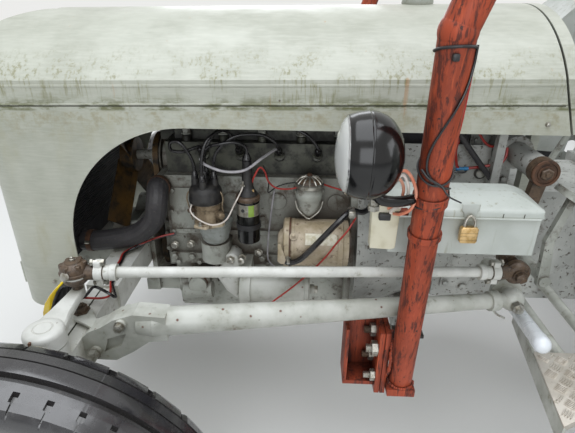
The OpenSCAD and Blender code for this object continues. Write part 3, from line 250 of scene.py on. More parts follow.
def bonnet_enamel(name):
    """Light grey enamel brushed over pressed steel: satin, with algae and rain runs over the seam and dirt below."""
    material, tree, shader, place = empty_material(name)
    x, _, z = add(tree, "ShaderNodeSeparateXYZ", {}, {0: place}).outputs
    # Height above the crease
    offset = (at(0, 0, 0).x + BONNET_REAR_X * MM) * BONNET_FALL - CREASE_Z * MM
    above = calculated(tree, "ADD", z, calculated(tree, "MULTIPLY_ADD", x, -BONNET_FALL, offset))
    tone = mixed(tree, ramp(tree, noise(tree, place, 140, 4), 0.35, 0.68), "#aeb0a3", "#9d9f91")
    brush = noise(tree, place, 3.2, 4, 0.6, stretch=(12, 12, 1.3))
    tone = mixed(tree, ramp(tree, brush, 0.35, 0.75, 0, 0.35), tone, "#bfc1b5")
    # Rain runs, thin and long, thickest between the seam and a hand's width above the crease
    runs = noise(tree, place, 7.5, 6, 0.65, stretch=(1, 1, 11))
    patch = noise(tree, place, 70, 5, 0.6)
    runny = times(tree, ramp(tree, runs, 0.47, 0.66), ramp(tree, patch, 0.4, 0.58))
    low = ramp(tree, above, -0.055, -0.03)
    high = ramp(tree, above, 0.02, 0.085, 1.0, 0.0)
    band = times(tree, times(tree, low, high), runny)
    tone = mixed(tree, times(tree, band, 0.85), tone, "#7c7a55")
    # Algae that sits along the seam and the crease
    lip = times(tree, ramp(tree, above, -0.052, -0.046), ramp(tree, above, -0.043, -0.012, 1.0, 0.0))
    mossy = times(tree, ramp(tree, noise(tree, place, 16, 7, 0.7, stretch=(3, 1, 1)), 0.42, 0.6), lip)
    tone = mixed(tree, times(tree, mossy, 0.9), tone, "#5d6038")
    # Soft dirt and pale snail tracks under the seam
    under = times(tree, ramp(tree, above, -0.125, -0.055), ramp(tree, above, -0.052, -0.05, 1.0, 0.0))
    smut = times(tree, ramp(tree, noise(tree, place, 24, 7, 0.7), 0.42, 0.68), under)
    tone = mixed(tree, times(tree, smut, 0.75), tone, "#8b8465")
    soft = times(tree, ramp(tree, noise(tree, place, 55, 6, 0.6, stretch=(1, 1, 3)), 0.5, 0.75),
        ramp(tree, above, -0.3, -0.06, 0.75, 0.3))
    tone = mixed(tree, times(tree, soft, ramp(tree, above, -0.046, -0.05)), tone, "#a09c7e")
    # Rust that bleeds from a few chips
    cells = add(tree, "ShaderNodeTexVoronoi", {}, {"Vector": place, "Scale": 17.0})
    spots = times(tree, ramp(tree, cells.outputs["Distance"], 0.03, 0.055, 1.0, 0.0), ramp(tree, patch, 0.5, 0.56))
    tone = mixed(tree, spots, tone, "#4d3a2c")
    bleed = times(tree, ramp(tree, noise(tree, place, 16, 4, 0.5, stretch=(1, 1, 16)), 0.7, 0.8), 0.55)
    tone = mixed(tree, bleed, tone, "#ab7f50")
    tree.links.new(tone, shader.inputs["Base Color"])
    tree.links.new(ramp(tree, patch, 0.3, 0.7, 0.34, 0.5), shader.inputs["Roughness"])
    shader.inputs["Coat Weight"].default_value = 0.25
    shader.inputs["Coat Roughness"].default_value = 0.3
    ripple = noise(tree, place, 60, 3, 0.5)
    height = times(tree, times(tree, brush, 0.12), times(tree, ripple, 0.8), "ADD")
    bumped(tree, shader, height, 0.9)
    return material


def oxide_primer(name):
    """Red oxide primer brushed on steel tube: satin, with lengthwise brush marks, dark runs, black chips and painted
    shade in its corners.
    """
    material, tree, shader, place = empty_material(name)
    tone = mixed(tree, ramp(tree, noise(tree, place, 50, 5, stretch=(1, 1, 3)), 0.35, 0.65), "#a24428", "#873820")
    brush = noise(tree, place, 4.0, 5, 0.6, stretch=(1, 1, 22))
    tone = mixed(tree, ramp(tree, brush, 0.5, 0.72, 0, 0.6), tone, "#bd5732")
    runs = noise(tree, place, 9, 6, 0.7, stretch=(1, 1, 9))
    tone = mixed(tree, ramp(tree, runs, 0.5, 0.6, 0, 0.85), tone, "#43201a")
    spots = noise(tree, place, 13, 7, 0.72)
    tone = mixed(tree, ramp(tree, spots, 0.62, 0.65), tone, "#35211c")
    # Painted shade: ambient occlusion darkens the corners to near black
    corner = add(tree, "ShaderNodeAmbientOcclusion", {"samples": 5}, {"Distance": 0.05})
    tone = mixed(tree, ramp(tree, corner.outputs["AO"], 0.3, 0.9, 0.8, 0.0), tone, "#2c1713")
    tree.links.new(tone, shader.inputs["Base Color"])
    tree.links.new(ramp(tree, runs, 0.35, 0.65, 0.42, 0.6), shader.inputs["Roughness"])
    shader.inputs["Specular IOR Level"].default_value = 0.35
    height = times(tree, times(tree, brush, 0.5), ramp(tree, spots, 0.64, 0.67, 0.0, 0.4), "SUBTRACT")
    bumped(tree, shader, height, 0.35)
    return material


def lamp_glass(name):
    """Pressed glass that lets the reflector show and catches the sky in its ripples."""
    material, tree, shader, place = empty_material(name)
    shader.inputs["Base Color"].default_value = linear("#f8f9f7")
    shader.inputs["Roughness"].default_value = 0.03
    shader.inputs["IOR"].default_value = 1.5
    shader.inputs["Transmission Weight"].default_value = 0.6
    bumped(tree, shader, noise(tree, place, 9, 1), 0.05)
    return material


# Coats that weather: base, shade, dirt and what lies under it, then what differs from the usual coat
WEATHERED = {
    # Grey enamel on the seat, fenders and rims: satin, with rain dirt and dots of rust
    "grey_enamel_sheet": ("#adb0aa", "#9b9e96", "#7b7862", "#5a4636", dict(rough=0.42, dirt_amount=0.32, streaks=0.35,
        rust=0.6, chips=0.12, coat=0.15, depth_mm=0.2, crevice=0.5)),
    # Enamel on round bars, thinner, dusted with pale dirt
    "grey_enamel_bar": ("#bcbdb5", "#a5a69c", "#7d7967", "#54473b", dict(rough=0.42, dirt_amount=0.36, rust=0.9,
        chips=0.1, chip_mm=9, mottle_mm=60, coat=0.15, depth_mm=0.25, crevice=0.5)),
    # Sand-cast iron under old enamel and oil: dull, dark with grime and painted shade in the corners, flaking
    "painted_iron_casting": ("#b2b4ab", "#94968d", "#574e43", "#4f4539", dict(rough=0.5, dirt_amount=0.48, chips=0.24,
        chip_mm=17, mottle_mm=90, dirt_mm=38, grain_mm=2.2, depth_mm=0.8, crevice=0.9, corner_mm=60)),
    # Cylinder head: the same enamel baked dark and fouled with oil mist, made darker still as painted shade under the
    # bonnet
    "sooty_shaded_casting": ("#5b5c4f", "#424338", "#1e1d18", "#37332b", dict(rough=0.46, dirt_amount=0.62, chips=0.2,
        mottle_mm=60, dirt_mm=30, grain_mm=2.2, depth_mm=0.8, crevice=1.0, corner_mm=60)),
    # The gearbox side, where the enamel comes off in sheets
    "flaking_iron_casting": ("#b7b8b2", "#9fa09b", "#676157", "#635c51", dict(rough=0.46, dirt_amount=0.42,
        chips=0.36, chip_mm=11, mottle_mm=110, grain_mm=2.0, depth_mm=1.2, crevice=0.6)),
    # Cast iron soaked with oil: near black, wet
    "oily_iron": ("#3b3733", "#2a2724", "#1b1917", "#5c4d3f", dict(rough=0.34, dirt_amount=0.5, chips=0.15,
        grain_mm=2.0, depth_mm=0.8)),
    # Rust scale: matt, brown, crusted
    "scaled_iron": ("#4a3425", "#5e3d27", "#261b14", "#7b5233", dict(rough=0.6, dirt_amount=0.5, chips=0.24,
        chip_mm=8, mottle_mm=20, grain_mm=1.2, depth_mm=0.8, crevice=0.5)),
    # Ball sockets: grease and rust, rubbed back to bare grey iron on the high spots
    "greasy_iron": ("#493a2d", "#5c4a39", "#221a13", "#9a9082", dict(rough=0.42, dirt_amount=0.5, chips=0.3,
        chip_mm=7, mottle_mm=12, dirt_mm=8, grain_mm=1.0, depth_mm=0.7, crevice=0.6)),
    # Distributor body: die-cast alloy tarnished to brown by heat and oil
    "tarnished_alloy": ("#94846c", "#7a6a54", "#3a2f25", "#b9ad97", dict(rough=0.4, metal=0.3, dirt_amount=0.46,
        chips=0.2, mottle_mm=16, dirt_mm=10, depth_mm=0.25, crevice=0.6)),
    # Lacquered starter barrel, beige brown with heat and oil
    "aged_lacquer": ("#c0b19a", "#a39478", "#5a4c39", "#7a5233", dict(rough=0.4, dirt_amount=0.42, chips=0.22,
        mottle_mm=34, dirt_mm=14, grain_mm=1.0, depth_mm=0.2, crevice=0.5)),
    # Grey hammered enamel on the governor cup, cleaner than the block
    "hammered_grey": ("#989c98", "#83867f", "#5d5a50", "#6f6a60", dict(rough=0.4, dirt_amount=0.36, mottle_mm=26,
        dirt_mm=12, grain_mm=5, depth_mm=0.9, crevice=0.5)),
    # Die-cast aluminium, grey, grimed
    "grimy_aluminium": ("#8e8a80", "#6f6a60", "#3b342b", "#a89f90", dict(rough=0.5, metal=0.25, dirt_amount=0.5,
        chips=0.2, mottle_mm=18, dirt_mm=12, depth_mm=0.3, crevice=0.7)),
    # Tool box: pale grey-green enamel, cleaner, sanded edges
    "grey_green_enamel": ("#b9beb8", "#adb2ab", "#8a8872", "#6d5137", dict(rough=0.4, dirt_amount=0.18, streaks=0.22,
        rust=0.4, coat=0.2, mottle_mm=80, depth_mm=0.15, crevice=0.55)),
    # Black enamel, matt with dust, on radiator, battery and dynamo
    "dusty_black": ("#26262a", "#1c1c1e", "#4a473f", "#5b4636", dict(rough=0.55, dirt_amount=0.35, chips=0.15,
        depth_mm=0.2, crevice=0.2)),
    # Rubber hose: charcoal, dusty, faint cloth ribs
    "hose_rubber": ("#3b393a", "#302e30", "#585550", "#232224", dict(rough=0.55, dirt_amount=0.4, mottle_mm=40,
        dirt_mm=9, grain_mm=1.2, depth_mm=0.25)),
    # Wet tyre rubber: black with a grey sheen and dirt in the grooves
    "wet_rubber": ("#2b2a2d", "#201f22", "#4a4742", "#1a1a1b", dict(rough=0.2, dirt_amount=0.25, mottle_mm=70,
        dirt_mm=18, grain_mm=1.6, depth_mm=0.12, coat=1.0, crevice=0.35)),
    # Rear tyre rubber, drier and dustier
    "dry_rubber": ("#2a292b", "#323033", "#57523f", "#1f1f20", dict(rough=0.62, dirt_amount=0.42, mottle_mm=90,
        dirt_mm=26, grain_mm=1.8, depth_mm=0.3, crevice=0.5)),
    # Rolled aluminium plate, dull silver with mud in the pattern
    "chequer_aluminium": ("#d2ccc2", "#bdb6aa", "#8a7e6a", "#9c9385", dict(rough=0.36, metal=0.45, dirt_amount=0.34,
        mottle_mm=60, dirt_mm=18, grain_mm=0.9, depth_mm=0.1, crevice=0.4)),
    # Fan blades: yellow-brown enamel worn by dust, darkened almost to black as painted shade under the bonnet
    "shaded_ochre_enamel": ("#5f4419", "#3c2b12", "#15110b", "#2a2116", dict(rough=0.55, dirt_amount=0.6, chips=0.25,
        depth_mm=0.2, crevice=0.8, corner_mm=60)),
    # Off-white brushed enamel on the steering and the axle: satin, with dirt and dots of rust
    "white_enamel": ("#d0d0ca", "#c0c0b9", "#8a8672", "#65523f", dict(rough=0.42, dirt_amount=0.34, rust=0.9,
        chips=0.12, chip_mm=8, mottle_mm=40, coat=0.2, depth_mm=0.2, crevice=0.6)),
    # Fresh stoved enamel on the footrest tubes: cool white, hardly dirty
    "tube_enamel": ("#e2e6e9", "#d4d8dc", "#a9aaa4", "#7d7468", dict(rough=0.3, dirt_amount=0.14, chips=0.06,
        mottle_mm=60, coat=0.3, depth_mm=0.1, crevice=0.35)),
}

# Finishes that stay nearly clean: base, shade, roughness, metal, coat, then the millimetres of mottle, grain and depth
PLAIN = {
    # Zinc-plated steel: bright grey with white bloom
    "zinc_steel": ("#b4b2aa", "#8c877b", 0.34, 0.85, 0, 9, 0.7, 0.05),
    # Chrome on the lamp rim: mirror, faint pits
    "chrome": ("#b9babb", "#a2a3a4", 0.12, 1.0, 0, 12, 0.6, 0.01),
    # Baked black lacquer on the lamp bowl: deep gloss
    "black_lacquer": ("#060607", "#0a0a0b", 0.16, 0.0, 0.0, 60, 2.0, 0.01),
    # Bakelite: black, soft gloss, dusty
    "bakelite": ("#121112", "#2b2926", 0.5, 0.0, 0.0, 14, 1.0, 0.08),
    # Brass padlock body: warm, satin, tarnished at the edge
    "brass": ("#d6b683", "#b5935c", 0.34, 0.8, 0, 10, 0.6, 0.03),
    # Black rubber and PVC insulation, drawn over wire: a soft gloss
    "black_wire": ("#121113", "#1f1d1f", 0.25, 0, 0.2, 25),
    # Grey PVC, a little chalky
    "grey_wire": ("#a9a6a8", "#8b888b", 0.35, 0, 0, 25),
    # Red PVC, faded and dirty
    "red_wire": ("#a42a22", "#8a2a22", 0.38, 0, 0, 25),
    # Orange PVC, bleached by the sun
    "orange_wire": ("#cf7a5c", "#dfa58d", 0.4, 0, 0, 25),
    # White PVC, yellowed
    "white_wire": ("#d8cfc6", "#bdb3a8", 0.42, 0, 0, 25),
    # Moulded nylon on a crimped joint: clear blue
    "blue_crimp": ("#3f8fc4", "#3781b4", 0.3, 0, 0.2, 12),
    # Moulded ABS, yellowed cream white
    "cream_plastic": ("#d5d0b9", "#c2bba0", 0.42, 0, 0.1, 40, 1.0, 0.05),
    # Moulded black ABS: matt, greyed
    "black_plastic": ("#1c1b1c", "#2a292a", 0.45, 0, 0.05, 20),
    # Moulded acrylic lens: bright yellow, glossy
    "yellow_lens": ("#e6c61c", "#d8b417", 0.16, 0, 0.5, 30),
    # Vacuum-silvered steel behind the glass: a soft mirror
    "silvered": ("#f0f0ec", "#f0f0ec", 0.28, 1.0, 0),
    # Printed paper gone blank: buff, matt
    "paper_label": ("#ddd8c6", "#c2b99c", 0.7, 0, 0, 8),
    # Green ink on the coil's bare band: flat
    "green_patch": ("#7f9c3c", "#93ad55", 0.5, 0, 0.1, 30),
    # Painted shadow in a gap or seam: dark, without any sheen
    "shadow_gap": ("#2a2a22", "#3a3a2c", 0.9, 0, 0, 12),
}

# Finishes that have a function of their own
SPECIAL = {
    # Brushed enamel over pressed sheet: satin, chalky where the sun has been
    "bonnet_enamel": bonnet_enamel,
    # Red oxide primer brushed on tube and plate: satin, streaked, chipped to black scale
    "red_oxide_primer": oxide_primer,
    # Pressed lamp glass: clear, with faint ripples
    "clear_glass": lamp_glass,
}


def finish(name):
    """The material of that name, made when it is first asked for."""
    if name in bpy.data.materials:
        return bpy.data.materials[name]
    if name in WEATHERED:
        *colours, settings = WEATHERED[name]
        return weathered(name, *colours, **settings)
    if name in PLAIN:
        return plain(name, *PLAIN[name])
    return SPECIAL[name](name)


# ---------------------------------------------------------------- shapes


class Shape:
    """Gathers closed shapes, each with its own finish, into one mesh. Points are in millimetres from the front axle."""

    def __init__(self):
        self.bm = bmesh.new()
        self.finishes = []

    def _keep(self, faces, material, smooth=True):
        if material not in self.finishes:
            self.finishes.append(material)
        bmesh.ops.recalc_face_normals(self.bm, faces=faces)
        for face in faces:
            face.material_index = self.finishes.index(material)
            face.smooth = smooth

    def _skin(self, rings, closed=False):
        """Faces between rings of points; an open end that isn't a single point gets a lid."""
        faces = []
        pairs = list(zip(rings, rings[1:])) + ([(rings[-1], rings[0])] if closed else [])
        for a, b in pairs:
            for j in range(max(len(a), len(b))):
                k = (j + 1) % max(len(a), len(b))
                corners = [a[0]] if len(a) == 1 else [a[j], a[k]]
                corners += [b[0]] if len(b) == 1 else [b[k], b[j]]
                if len(corners) > 2:
                    faces.append(self.bm.faces.new(corners))
        if not closed:
            for ring in (rings[0], rings[-1]):
                if len(ring) > 2:
                    faces.append(self.bm.faces.new(ring))
        return faces

    def lathe(self, material, profile, origin, axis, steps=40, closed=False, turn=0.0, smooth=True):
        """Turns a profile of (distance along the axis, radius) round the axis."""
        origin, axis = at(*origin), Vector(axis).normalized()
        side = Vector(UP) if abs(axis.z) < 0.9 else Vector(RIGHT)
        side = (side - axis * side.dot(axis)).normalized()
        other = axis.cross(side)
        rings = []
        for along, radius in profile:
            middle = origin + axis * along * MM
            angles = [turn + 2 * math.pi * j / steps for j in range(steps)] if radius > 0.01 else [0]
            rings.append([
                self.bm.verts.new(middle + (side * math.cos(a) + other * math.sin(a)) * radius * MM)
                for a in angles
            ])
        self._keep(self._skin(rings, closed), material, smooth)

    def turned(self, material, profile, origin, axis=UP, steps=40, turn=0.0, smooth=True):
        """A solid turned shape: where its profile ends off the axis, it gets a flat end."""
        start = [(profile[0][0], 0)] if profile[0][1] else []
        end = [(profile[-1][0], 0)] if profile[-1][1] else []
        self.lathe(material, start + profile + end, origin, axis, steps, turn=turn, smooth=smooth)

    def hexagon(self, material, profile, origin, axis=UP, turn=0.0):
        """A nut, a bolt's head or another solid turned shape with six flats."""
        self.turned(material, profile, origin, axis, 6, turn, smooth=False)

    def ring(self, material, ends, radii, origin, axis, steps):
        """A plain band between two places along the axis and two radii."""
        (low, high), (inner, outer) = ends, radii
        profile = [(low, inner), (low, outer), (high, outer), (high, inner)]
        self.lathe(material, profile, origin, axis, steps, closed=True)

    def tube(self, material, points, radius, sides=10, steps=6, end_radius=None):
        """A wire, hose or bar of round section that follows a smooth curve through the points."""
        path = smooth_path([at(*p) for p in points], steps)
        taper = (end_radius or radius) - radius
        rings, normal = [], None
        for i, p in enumerate(path):
            ahead = path[min(i + 1, len(path) - 1)] - path[max(i - 1, 0)]
            ahead.normalize()
            if normal is None:
                normal = ahead.orthogonal()
            normal = (normal - ahead * normal.dot(ahead)).normalized()
            other = ahead.cross(normal)
            r = (radius + taper * i / (len(path) - 1)) * MM
            rings.append([
                self.bm.verts.new(p + (normal * math.cos(a) + other * math.sin(a)) * r)
                for a in (2 * math.pi * j / sides for j in range(sides))
            ])
        self._keep(self._skin(rings), material)

    def prism(self, material, outline, plane, low, high, bevel=0.0):
        """A plate: an outline in the plane across x, y or z, between low and high, with its edges rounded."""
        place = {"x": lambda u, v, w: at(w, u, v), "y": lambda u, v, w: at(u, w, v), "z": at}[plane]
        rings = [[self.bm.verts.new(place(u, v, w)) for u, v in outline] for w in (low, high)]
        faces = self._skin(rings)
        self._keep(faces, material)
        if bevel:
            edges = list({e for f in faces for e in f.edges if e.calc_face_angle(0) > 0.5})
            made = bmesh.ops.bevel(
                self.bm, geom=edges, offset=bevel * MM, segments=2, profile=0.5, affect="EDGES", clamp_overlap=True
            )
            for face in made["faces"]:
                face.material_index = self.finishes.index(material)
                face.smooth = True

    def block(self, material, x, y, z, bevel=1.0):
        self.prism(material, [(x[0], y[0]), (x[1], y[0]), (x[1], y[1]), (x[0], y[1])], "z", z[0], z[1], bevel)

    def strip(self, material, centre, radii, angles, plane, low, high):
        """A curved label or band: part of a ring in the plane across x, y or z, between low and high."""
        turns = [math.radians(angles[0] + (angles[1] - angles[0]) * i / 14) for i in range(15)]
        outline = [(centre[0] + radii[1] * math.cos(t), centre[1] + radii[1] * math.sin(t)) for t in turns]
        outline += [(centre[0] + radii[0] * math.cos(t), centre[1] + radii[0] * math.sin(t)) for t in reversed(turns)]
        self.prism(material, outline, plane, low, high)

    def ball(self, material, centre, radius, steps=20):
        profile = [(-radius * math.cos(math.pi * i / 10), radius * math.sin(math.pi * i / 10)) for i in range(11)]
        self.lathe(material, profile, centre, UP, steps)

    def mirrored(self):
        """Adds the same shapes on the tractor's other side."""
        made = bmesh.ops.duplicate(self.bm, geom=self.bm.verts[:] + self.bm.edges[:] + self.bm.faces[:])["geom"]
        for v in (g for g in made if isinstance(g, bmesh.types.BMVert)):
            v.co.y = -v.co.y
        bmesh.ops.reverse_faces(self.bm, faces=[g for g in made if isinstance(g, bmesh.types.BMFace)])

    def piece(self, name, body="chassis", slot=None, replaces=()):
        """Ends the gathering: one object that rides on a body."""
        mesh = bpy.data.meshes.new(name)
        self.bm.to_mesh(mesh)
        self.bm.free()
        mesh.set_sharp_from_angle(angle=SHARP)
        for material in self.finishes:
            mesh.materials.append(finish(material))
        return settle(bpy.data.objects.new(name, mesh), body, replaces)


def settle(piece, body, replaces=()):
    """Puts an object in the scene, says what it rides on and hides the parts it stands for."""
    if piece.name not in bpy.context.scene.collection.objects:
        bpy.context.scene.collection.objects.link(piece)
    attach(piece, body)
    if replaces:
        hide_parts(*replaces)
    return piece


def smooth_path(points, steps):
    """A curve through the points, with a number of steps between each two."""
    if len(points) < 3 or steps < 2:
        return points
    ends = [points[0] * 2 - points[1], *points, points[-1] * 2 - points[-2]]
    path = []
    for a, b, c, d in zip(ends, ends[1:], ends[2:], ends[3:]):
        for k in range(steps):
            t = k / steps
            path.append(0.5 * (2 * b + (c - a) * t + (2 * a - 5 * b + 4 * c - d) * t * t
                + (3 * b - a - 3 * c + d) * t**3))
    return path + [points[-1]]


def new_tree(name, sizes):
    """A geometry node tree with named inputs for its sizes in metres; returns it with its input and output nodes."""
    tree = bpy.data.node_groups.new(name, "GeometryNodeTree")
    tree.interface.new_socket("Geometry", in_out="INPUT", socket_type="NodeSocketGeometry")
    for label, (value, low, high) in sizes.items():
        socket = tree.interface.new_socket(label, in_out="INPUT", socket_type="NodeSocketFloat")
        socket.default_value, socket.min_value, socket.max_value = value, low, high
    tree.interface.new_socket("Geometry", in_out="OUTPUT", socket_type="NodeSocketGeometry")
    return tree, add(tree, "NodeGroupInput"), add(tree, "NodeGroupOutput")


def place_on_points(tree, source, instance, material, output):
    """Stands an instance on each point, turned to its facing and along attributes and scaled by its size."""
    facing, along, size = (
        add(tree, "GeometryNodeInputNamedAttribute", {"data_type": "FLOAT_VECTOR"}, {"Name": name}).outputs[0]
        for name in ("facing", "along", "size")
    )
    axes = {"primary_axis": "Z", "secondary_axis": "X"}
    upright = add(tree, "FunctionNodeAxesToRotation", axes, {0: facing, 1: along})
    placed = add(
        tree, "GeometryNodeInstanceOnPoints", {},
        {"Points": source, "Instance": instance, "Rotation": upright.outputs[0], "Scale": size},
    )
    real = add(tree, "GeometryNodeRealizeInstances", {}, {0: placed.outputs[0]})
    done = add(tree, "GeometryNodeSetMaterial", {}, {"Geometry": real.outputs[0], "Material": material})
    tree.links.new(done.outputs[0], output.inputs[0])


def grown(name, rows, tree, values, body, material, smooth=False):
    """Runs a tree on rows of (place, facing, along, size) and keeps the result as a plain mesh that rides on a body."""
    mesh = bpy.data.meshes.new(name)
    mesh.from_pydata([at(*row[0]) for row in rows], [], [])
    for label, column in (("facing", 1), ("along", 2), ("size", 3)):
        attribute = mesh.attributes.new(label, "FLOAT_VECTOR", "POINT")
        attribute.data.foreach_set("vector", [c for row in rows for c in row[column]])
    seed = bpy.data.objects.new(name + "_points", mesh)
    bpy.context.scene.collection.objects.link(seed)
    modifier = seed.modifiers.new("grow", "NODES")
    modifier.node_group = tree
    for item in tree.interface.items_tree:
        if item.item_type == "SOCKET" and item.in_out == "INPUT" and item.name in values:
            modifier[item.identifier] = values[item.name]
    bpy.context.view_layer.update()
    graph = bpy.context.evaluated_depsgraph_get()
    result = bpy.data.meshes.new_from_object(seed.evaluated_get(graph))
    bpy.data.objects.remove(seed)
    result.name = name
    result.materials.clear()
    result.materials.append(finish(material))
    for face in result.polygons:
        face.material_index = 0
        face.use_smooth = smooth
    if smooth:
        result.set_sharp_from_angle(angle=SHARP)
    return settle(bpy.data.objects.new(name, result), body)


def hex_head_tree():
    """A hexagon head with a chamfered crown on a round washer, one unit across flats."""
    tree, source, output = new_tree("hex_heads", {"Head Height": (0.62, 0.2, 2), "Washer Radius": (0.72, 0.5, 1.2)})
    tall, wide = source.outputs["Head Height"], source.outputs["Washer Radius"]
    head = add(tree, "GeometryNodeMeshCylinder", {}, {"Vertices": 6, "Radius": 0.577, "Depth": tall})
    cone = {"Vertices": 18, "Radius Bottom": 0.5, "Radius Top": 0.3, "Depth": 0.1}
    crown = add(tree, "GeometryNodeMeshCone", {}, cone)
    washer = add(tree, "GeometryNodeMeshCylinder", {}, {"Vertices": 20, "Radius": wide, "Depth": 0.14})
    joined = add(tree, "GeometryNodeJoinGeometry")
    for shape, z in (
        (head, calculated(tree, "MULTIPLY_ADD", tall, 0.5, 0.1)),
        (crown, calculated(tree, "ADD", tall, 0.095)),
        (washer, 0.05),
    ):
        place = {"Geometry": shape.outputs[0], "Translation": combined(tree, z=z)}
        tree.links.new(add(tree, "GeometryNodeTransform", {}, place).outputs[0], joined.inputs[0])
    return tree, source, joined, output


def bolts(name, rows, body="chassis", material="zinc_steel", washer=0.72, height=0.62):
    """Bolt heads from rows of (place, facing, millimetres across flats)."""
    tree, source, joined, output = hex_head_tree()
    place_on_points(tree, source.outputs[0], joined.outputs[0], finish(material), output)
    spin = random.Random(7)
    table = []
    for place, facing, across in rows:
        facing = Vector(facing).normalized()
        side = (Matrix.Rotation(spin.uniform(0, 1.0), 3, facing) @ facing.orthogonal()).normalized()
        table.append((place, facing, side, (across * MM,) * 3))
    return grown(name, table, tree, {"Washer Radius": washer, "Head Height": height}, body, material)


# ---------------------------------------------------------------- settings


class TractorSizes(bpy.types.PropertyGroup):
    """Sizes that a user would change, in metres."""

    lead_radius: bpy.props.FloatProperty(
        name="Plug lead radius", description="Radius of the ignition leads", default=0.0038, min=0.002, max=0.006,
            unit="LENGTH")
    wire_radius: bpy.props.FloatProperty(
        name="Wire radius", description="Radius of the thin wiring", default=0.0016, min=0.0008, max=0.004,
            unit="LENGTH")
    tread_depth: bpy.props.FloatProperty(
        name="Tread depth", description="Depth of the front tyres' grooves", default=0.01, min=0.003, max=0.014,
            unit="LENGTH")
    tread_blocks: bpy.props.IntProperty(
        name="Shoulder blocks", description="Shoulder blocks round each front tyre", default=32, min=20, max=60)
    chequer_pitch: bpy.props.FloatProperty(
        name="Chequer pitch", description="Distance between the groups of bars of the footplates' pattern",
            default=0.038, min=0.015, max=0.05, unit="LENGTH")
    fin_pitch: bpy.props.FloatProperty(
        name="Fin pitch", description="Distance between the radiator's fins", default=0.007, min=0.003, max=0.02,
            unit="LENGTH")
    floor_size: bpy.props.FloatProperty(
        name="Floor size", description="Edge of the pale floor", default=26.0, min=6, max=60, unit="LENGTH")


class TractorColours(bpy.types.PropertyGroup):
    """Colours of the light and the floor."""

    floor: bpy.props.FloatVectorProperty(
        name="Floor", description="Colour of the floor", subtype="COLOR", size=3, default=linear("#e2e1dd")[:3],
            min=0, max=1)
    sky: bpy.props.FloatVectorProperty(
        name="Sky light", description="Colour of the overcast light", subtype="COLOR", size=3,
            default=linear("#f1f5fa")[:3], min=0, max=1)


def sizes():
    return bpy.context.scene.tractor_sizes


def mm(value):
    return value / MM


# ---------------------------------------------------------------- operators


class TRACTOR_OT_stage(bpy.types.Operator):
    """Pale floor, overcast studio light and the camera at the photograph's angle"""

    bl_idname = "tractor.stage"
    bl_label = "Stage"

    def execute(self, context):
        scene = context.scene
        scene.view_settings.view_transform = "Standard"
        colours = scene.tractor_colours
        world = bpy.data.worlds.new("overcast")
        world.use_nodes = True
        scene.world = world
        tree = world.node_tree
        tree.nodes.clear()
        rays = add(tree, "ShaderNodeLightPath")
        direct, glossy, through = (rays.outputs[f"Is {kind} Ray"] for kind in ("Camera", "Glossy", "Transmission"))
        seen = times(tree, times(tree, direct, glossy, "MAXIMUM"), through, "MAXIMUM")
        light = add(tree, "ShaderNodeBackground", {}, {"Color": [*colours.sky, 1], "Strength": 0.55})
        backdrop = add(tree, "ShaderNodeBackground", {}, {"Color": linear("#f2f2f0"), "Strength": 0.95})
        both = add(tree, "ShaderNodeMixShader", {}, {0: seen, 1: light.outputs[0], 2: backdrop.outputs[0]})
        add(tree, "ShaderNodeOutputWorld", {}, {"Surface": both.outputs[0]})
        half = scene.tractor_sizes.floor_size / 2
        mesh = bpy.data.meshes.new("floor")
        corners = [(x * half, y * half, -0.002) for x, y in ((-1, -1), (1, -1), (1, 1), (-1, 1))]
        mesh.from_pydata(corners, [], [(0, 1, 2, 3)])
        material, _, shader, _ = empty_material("pale_floor")
        shader.inputs["Base Color"].default_value = [*colours.floor, 1]
        shader.inputs["Roughness"].default_value = 0.85
        mesh.materials.append(material)
        floor = bpy.data.objects.new("floor", mesh)
        scene.collection.objects.link(floor)
        for name, (place, aim, size, power) in LIGHTS.items():
            lamp = bpy.data.lights.new(name, "AREA")
            lamp.shape, lamp.size, lamp.energy = "SQUARE", size, power
            lamp.color = colours.sky
            lantern = bpy.data.objects.new(name, lamp)
            lantern.location = place
            lantern.rotation_euler = (Vector(aim) - Vector(place)).to_track_quat("-Z", "Y").to_euler()
            scene.collection.objects.link(lantern)
        eye = bpy.data.cameras.new("eye")
        eye.sensor_width, eye.lens = 36.0, EYE_LENS
        pitch, yaw, roll = (math.radians(turn) for turn in EYE_TURNS)
        ahead = Vector((math.sin(yaw) * math.cos(pitch), math.cos(yaw) * math.cos(pitch), -math.sin(pitch)))
        level = Vector((math.cos(yaw), -math.sin(yaw), 0))
        upward = level.cross(ahead)
        right = level * math.cos(roll) + upward * math.sin(roll)
        up = upward * math.cos(roll) - level * math.sin(roll)
        turn = Matrix((right, up, -ahead)).transposed()
        camera = bpy.data.objects.new("eye", eye)
        camera.matrix_world = Matrix.Translation(at(*EYE_AT)) @ turn.to_4x4()
        eye.clip_start = 0.01
        scene.collection.objects.link(camera)
        scene.camera = camera
        return {"FINISHED"}


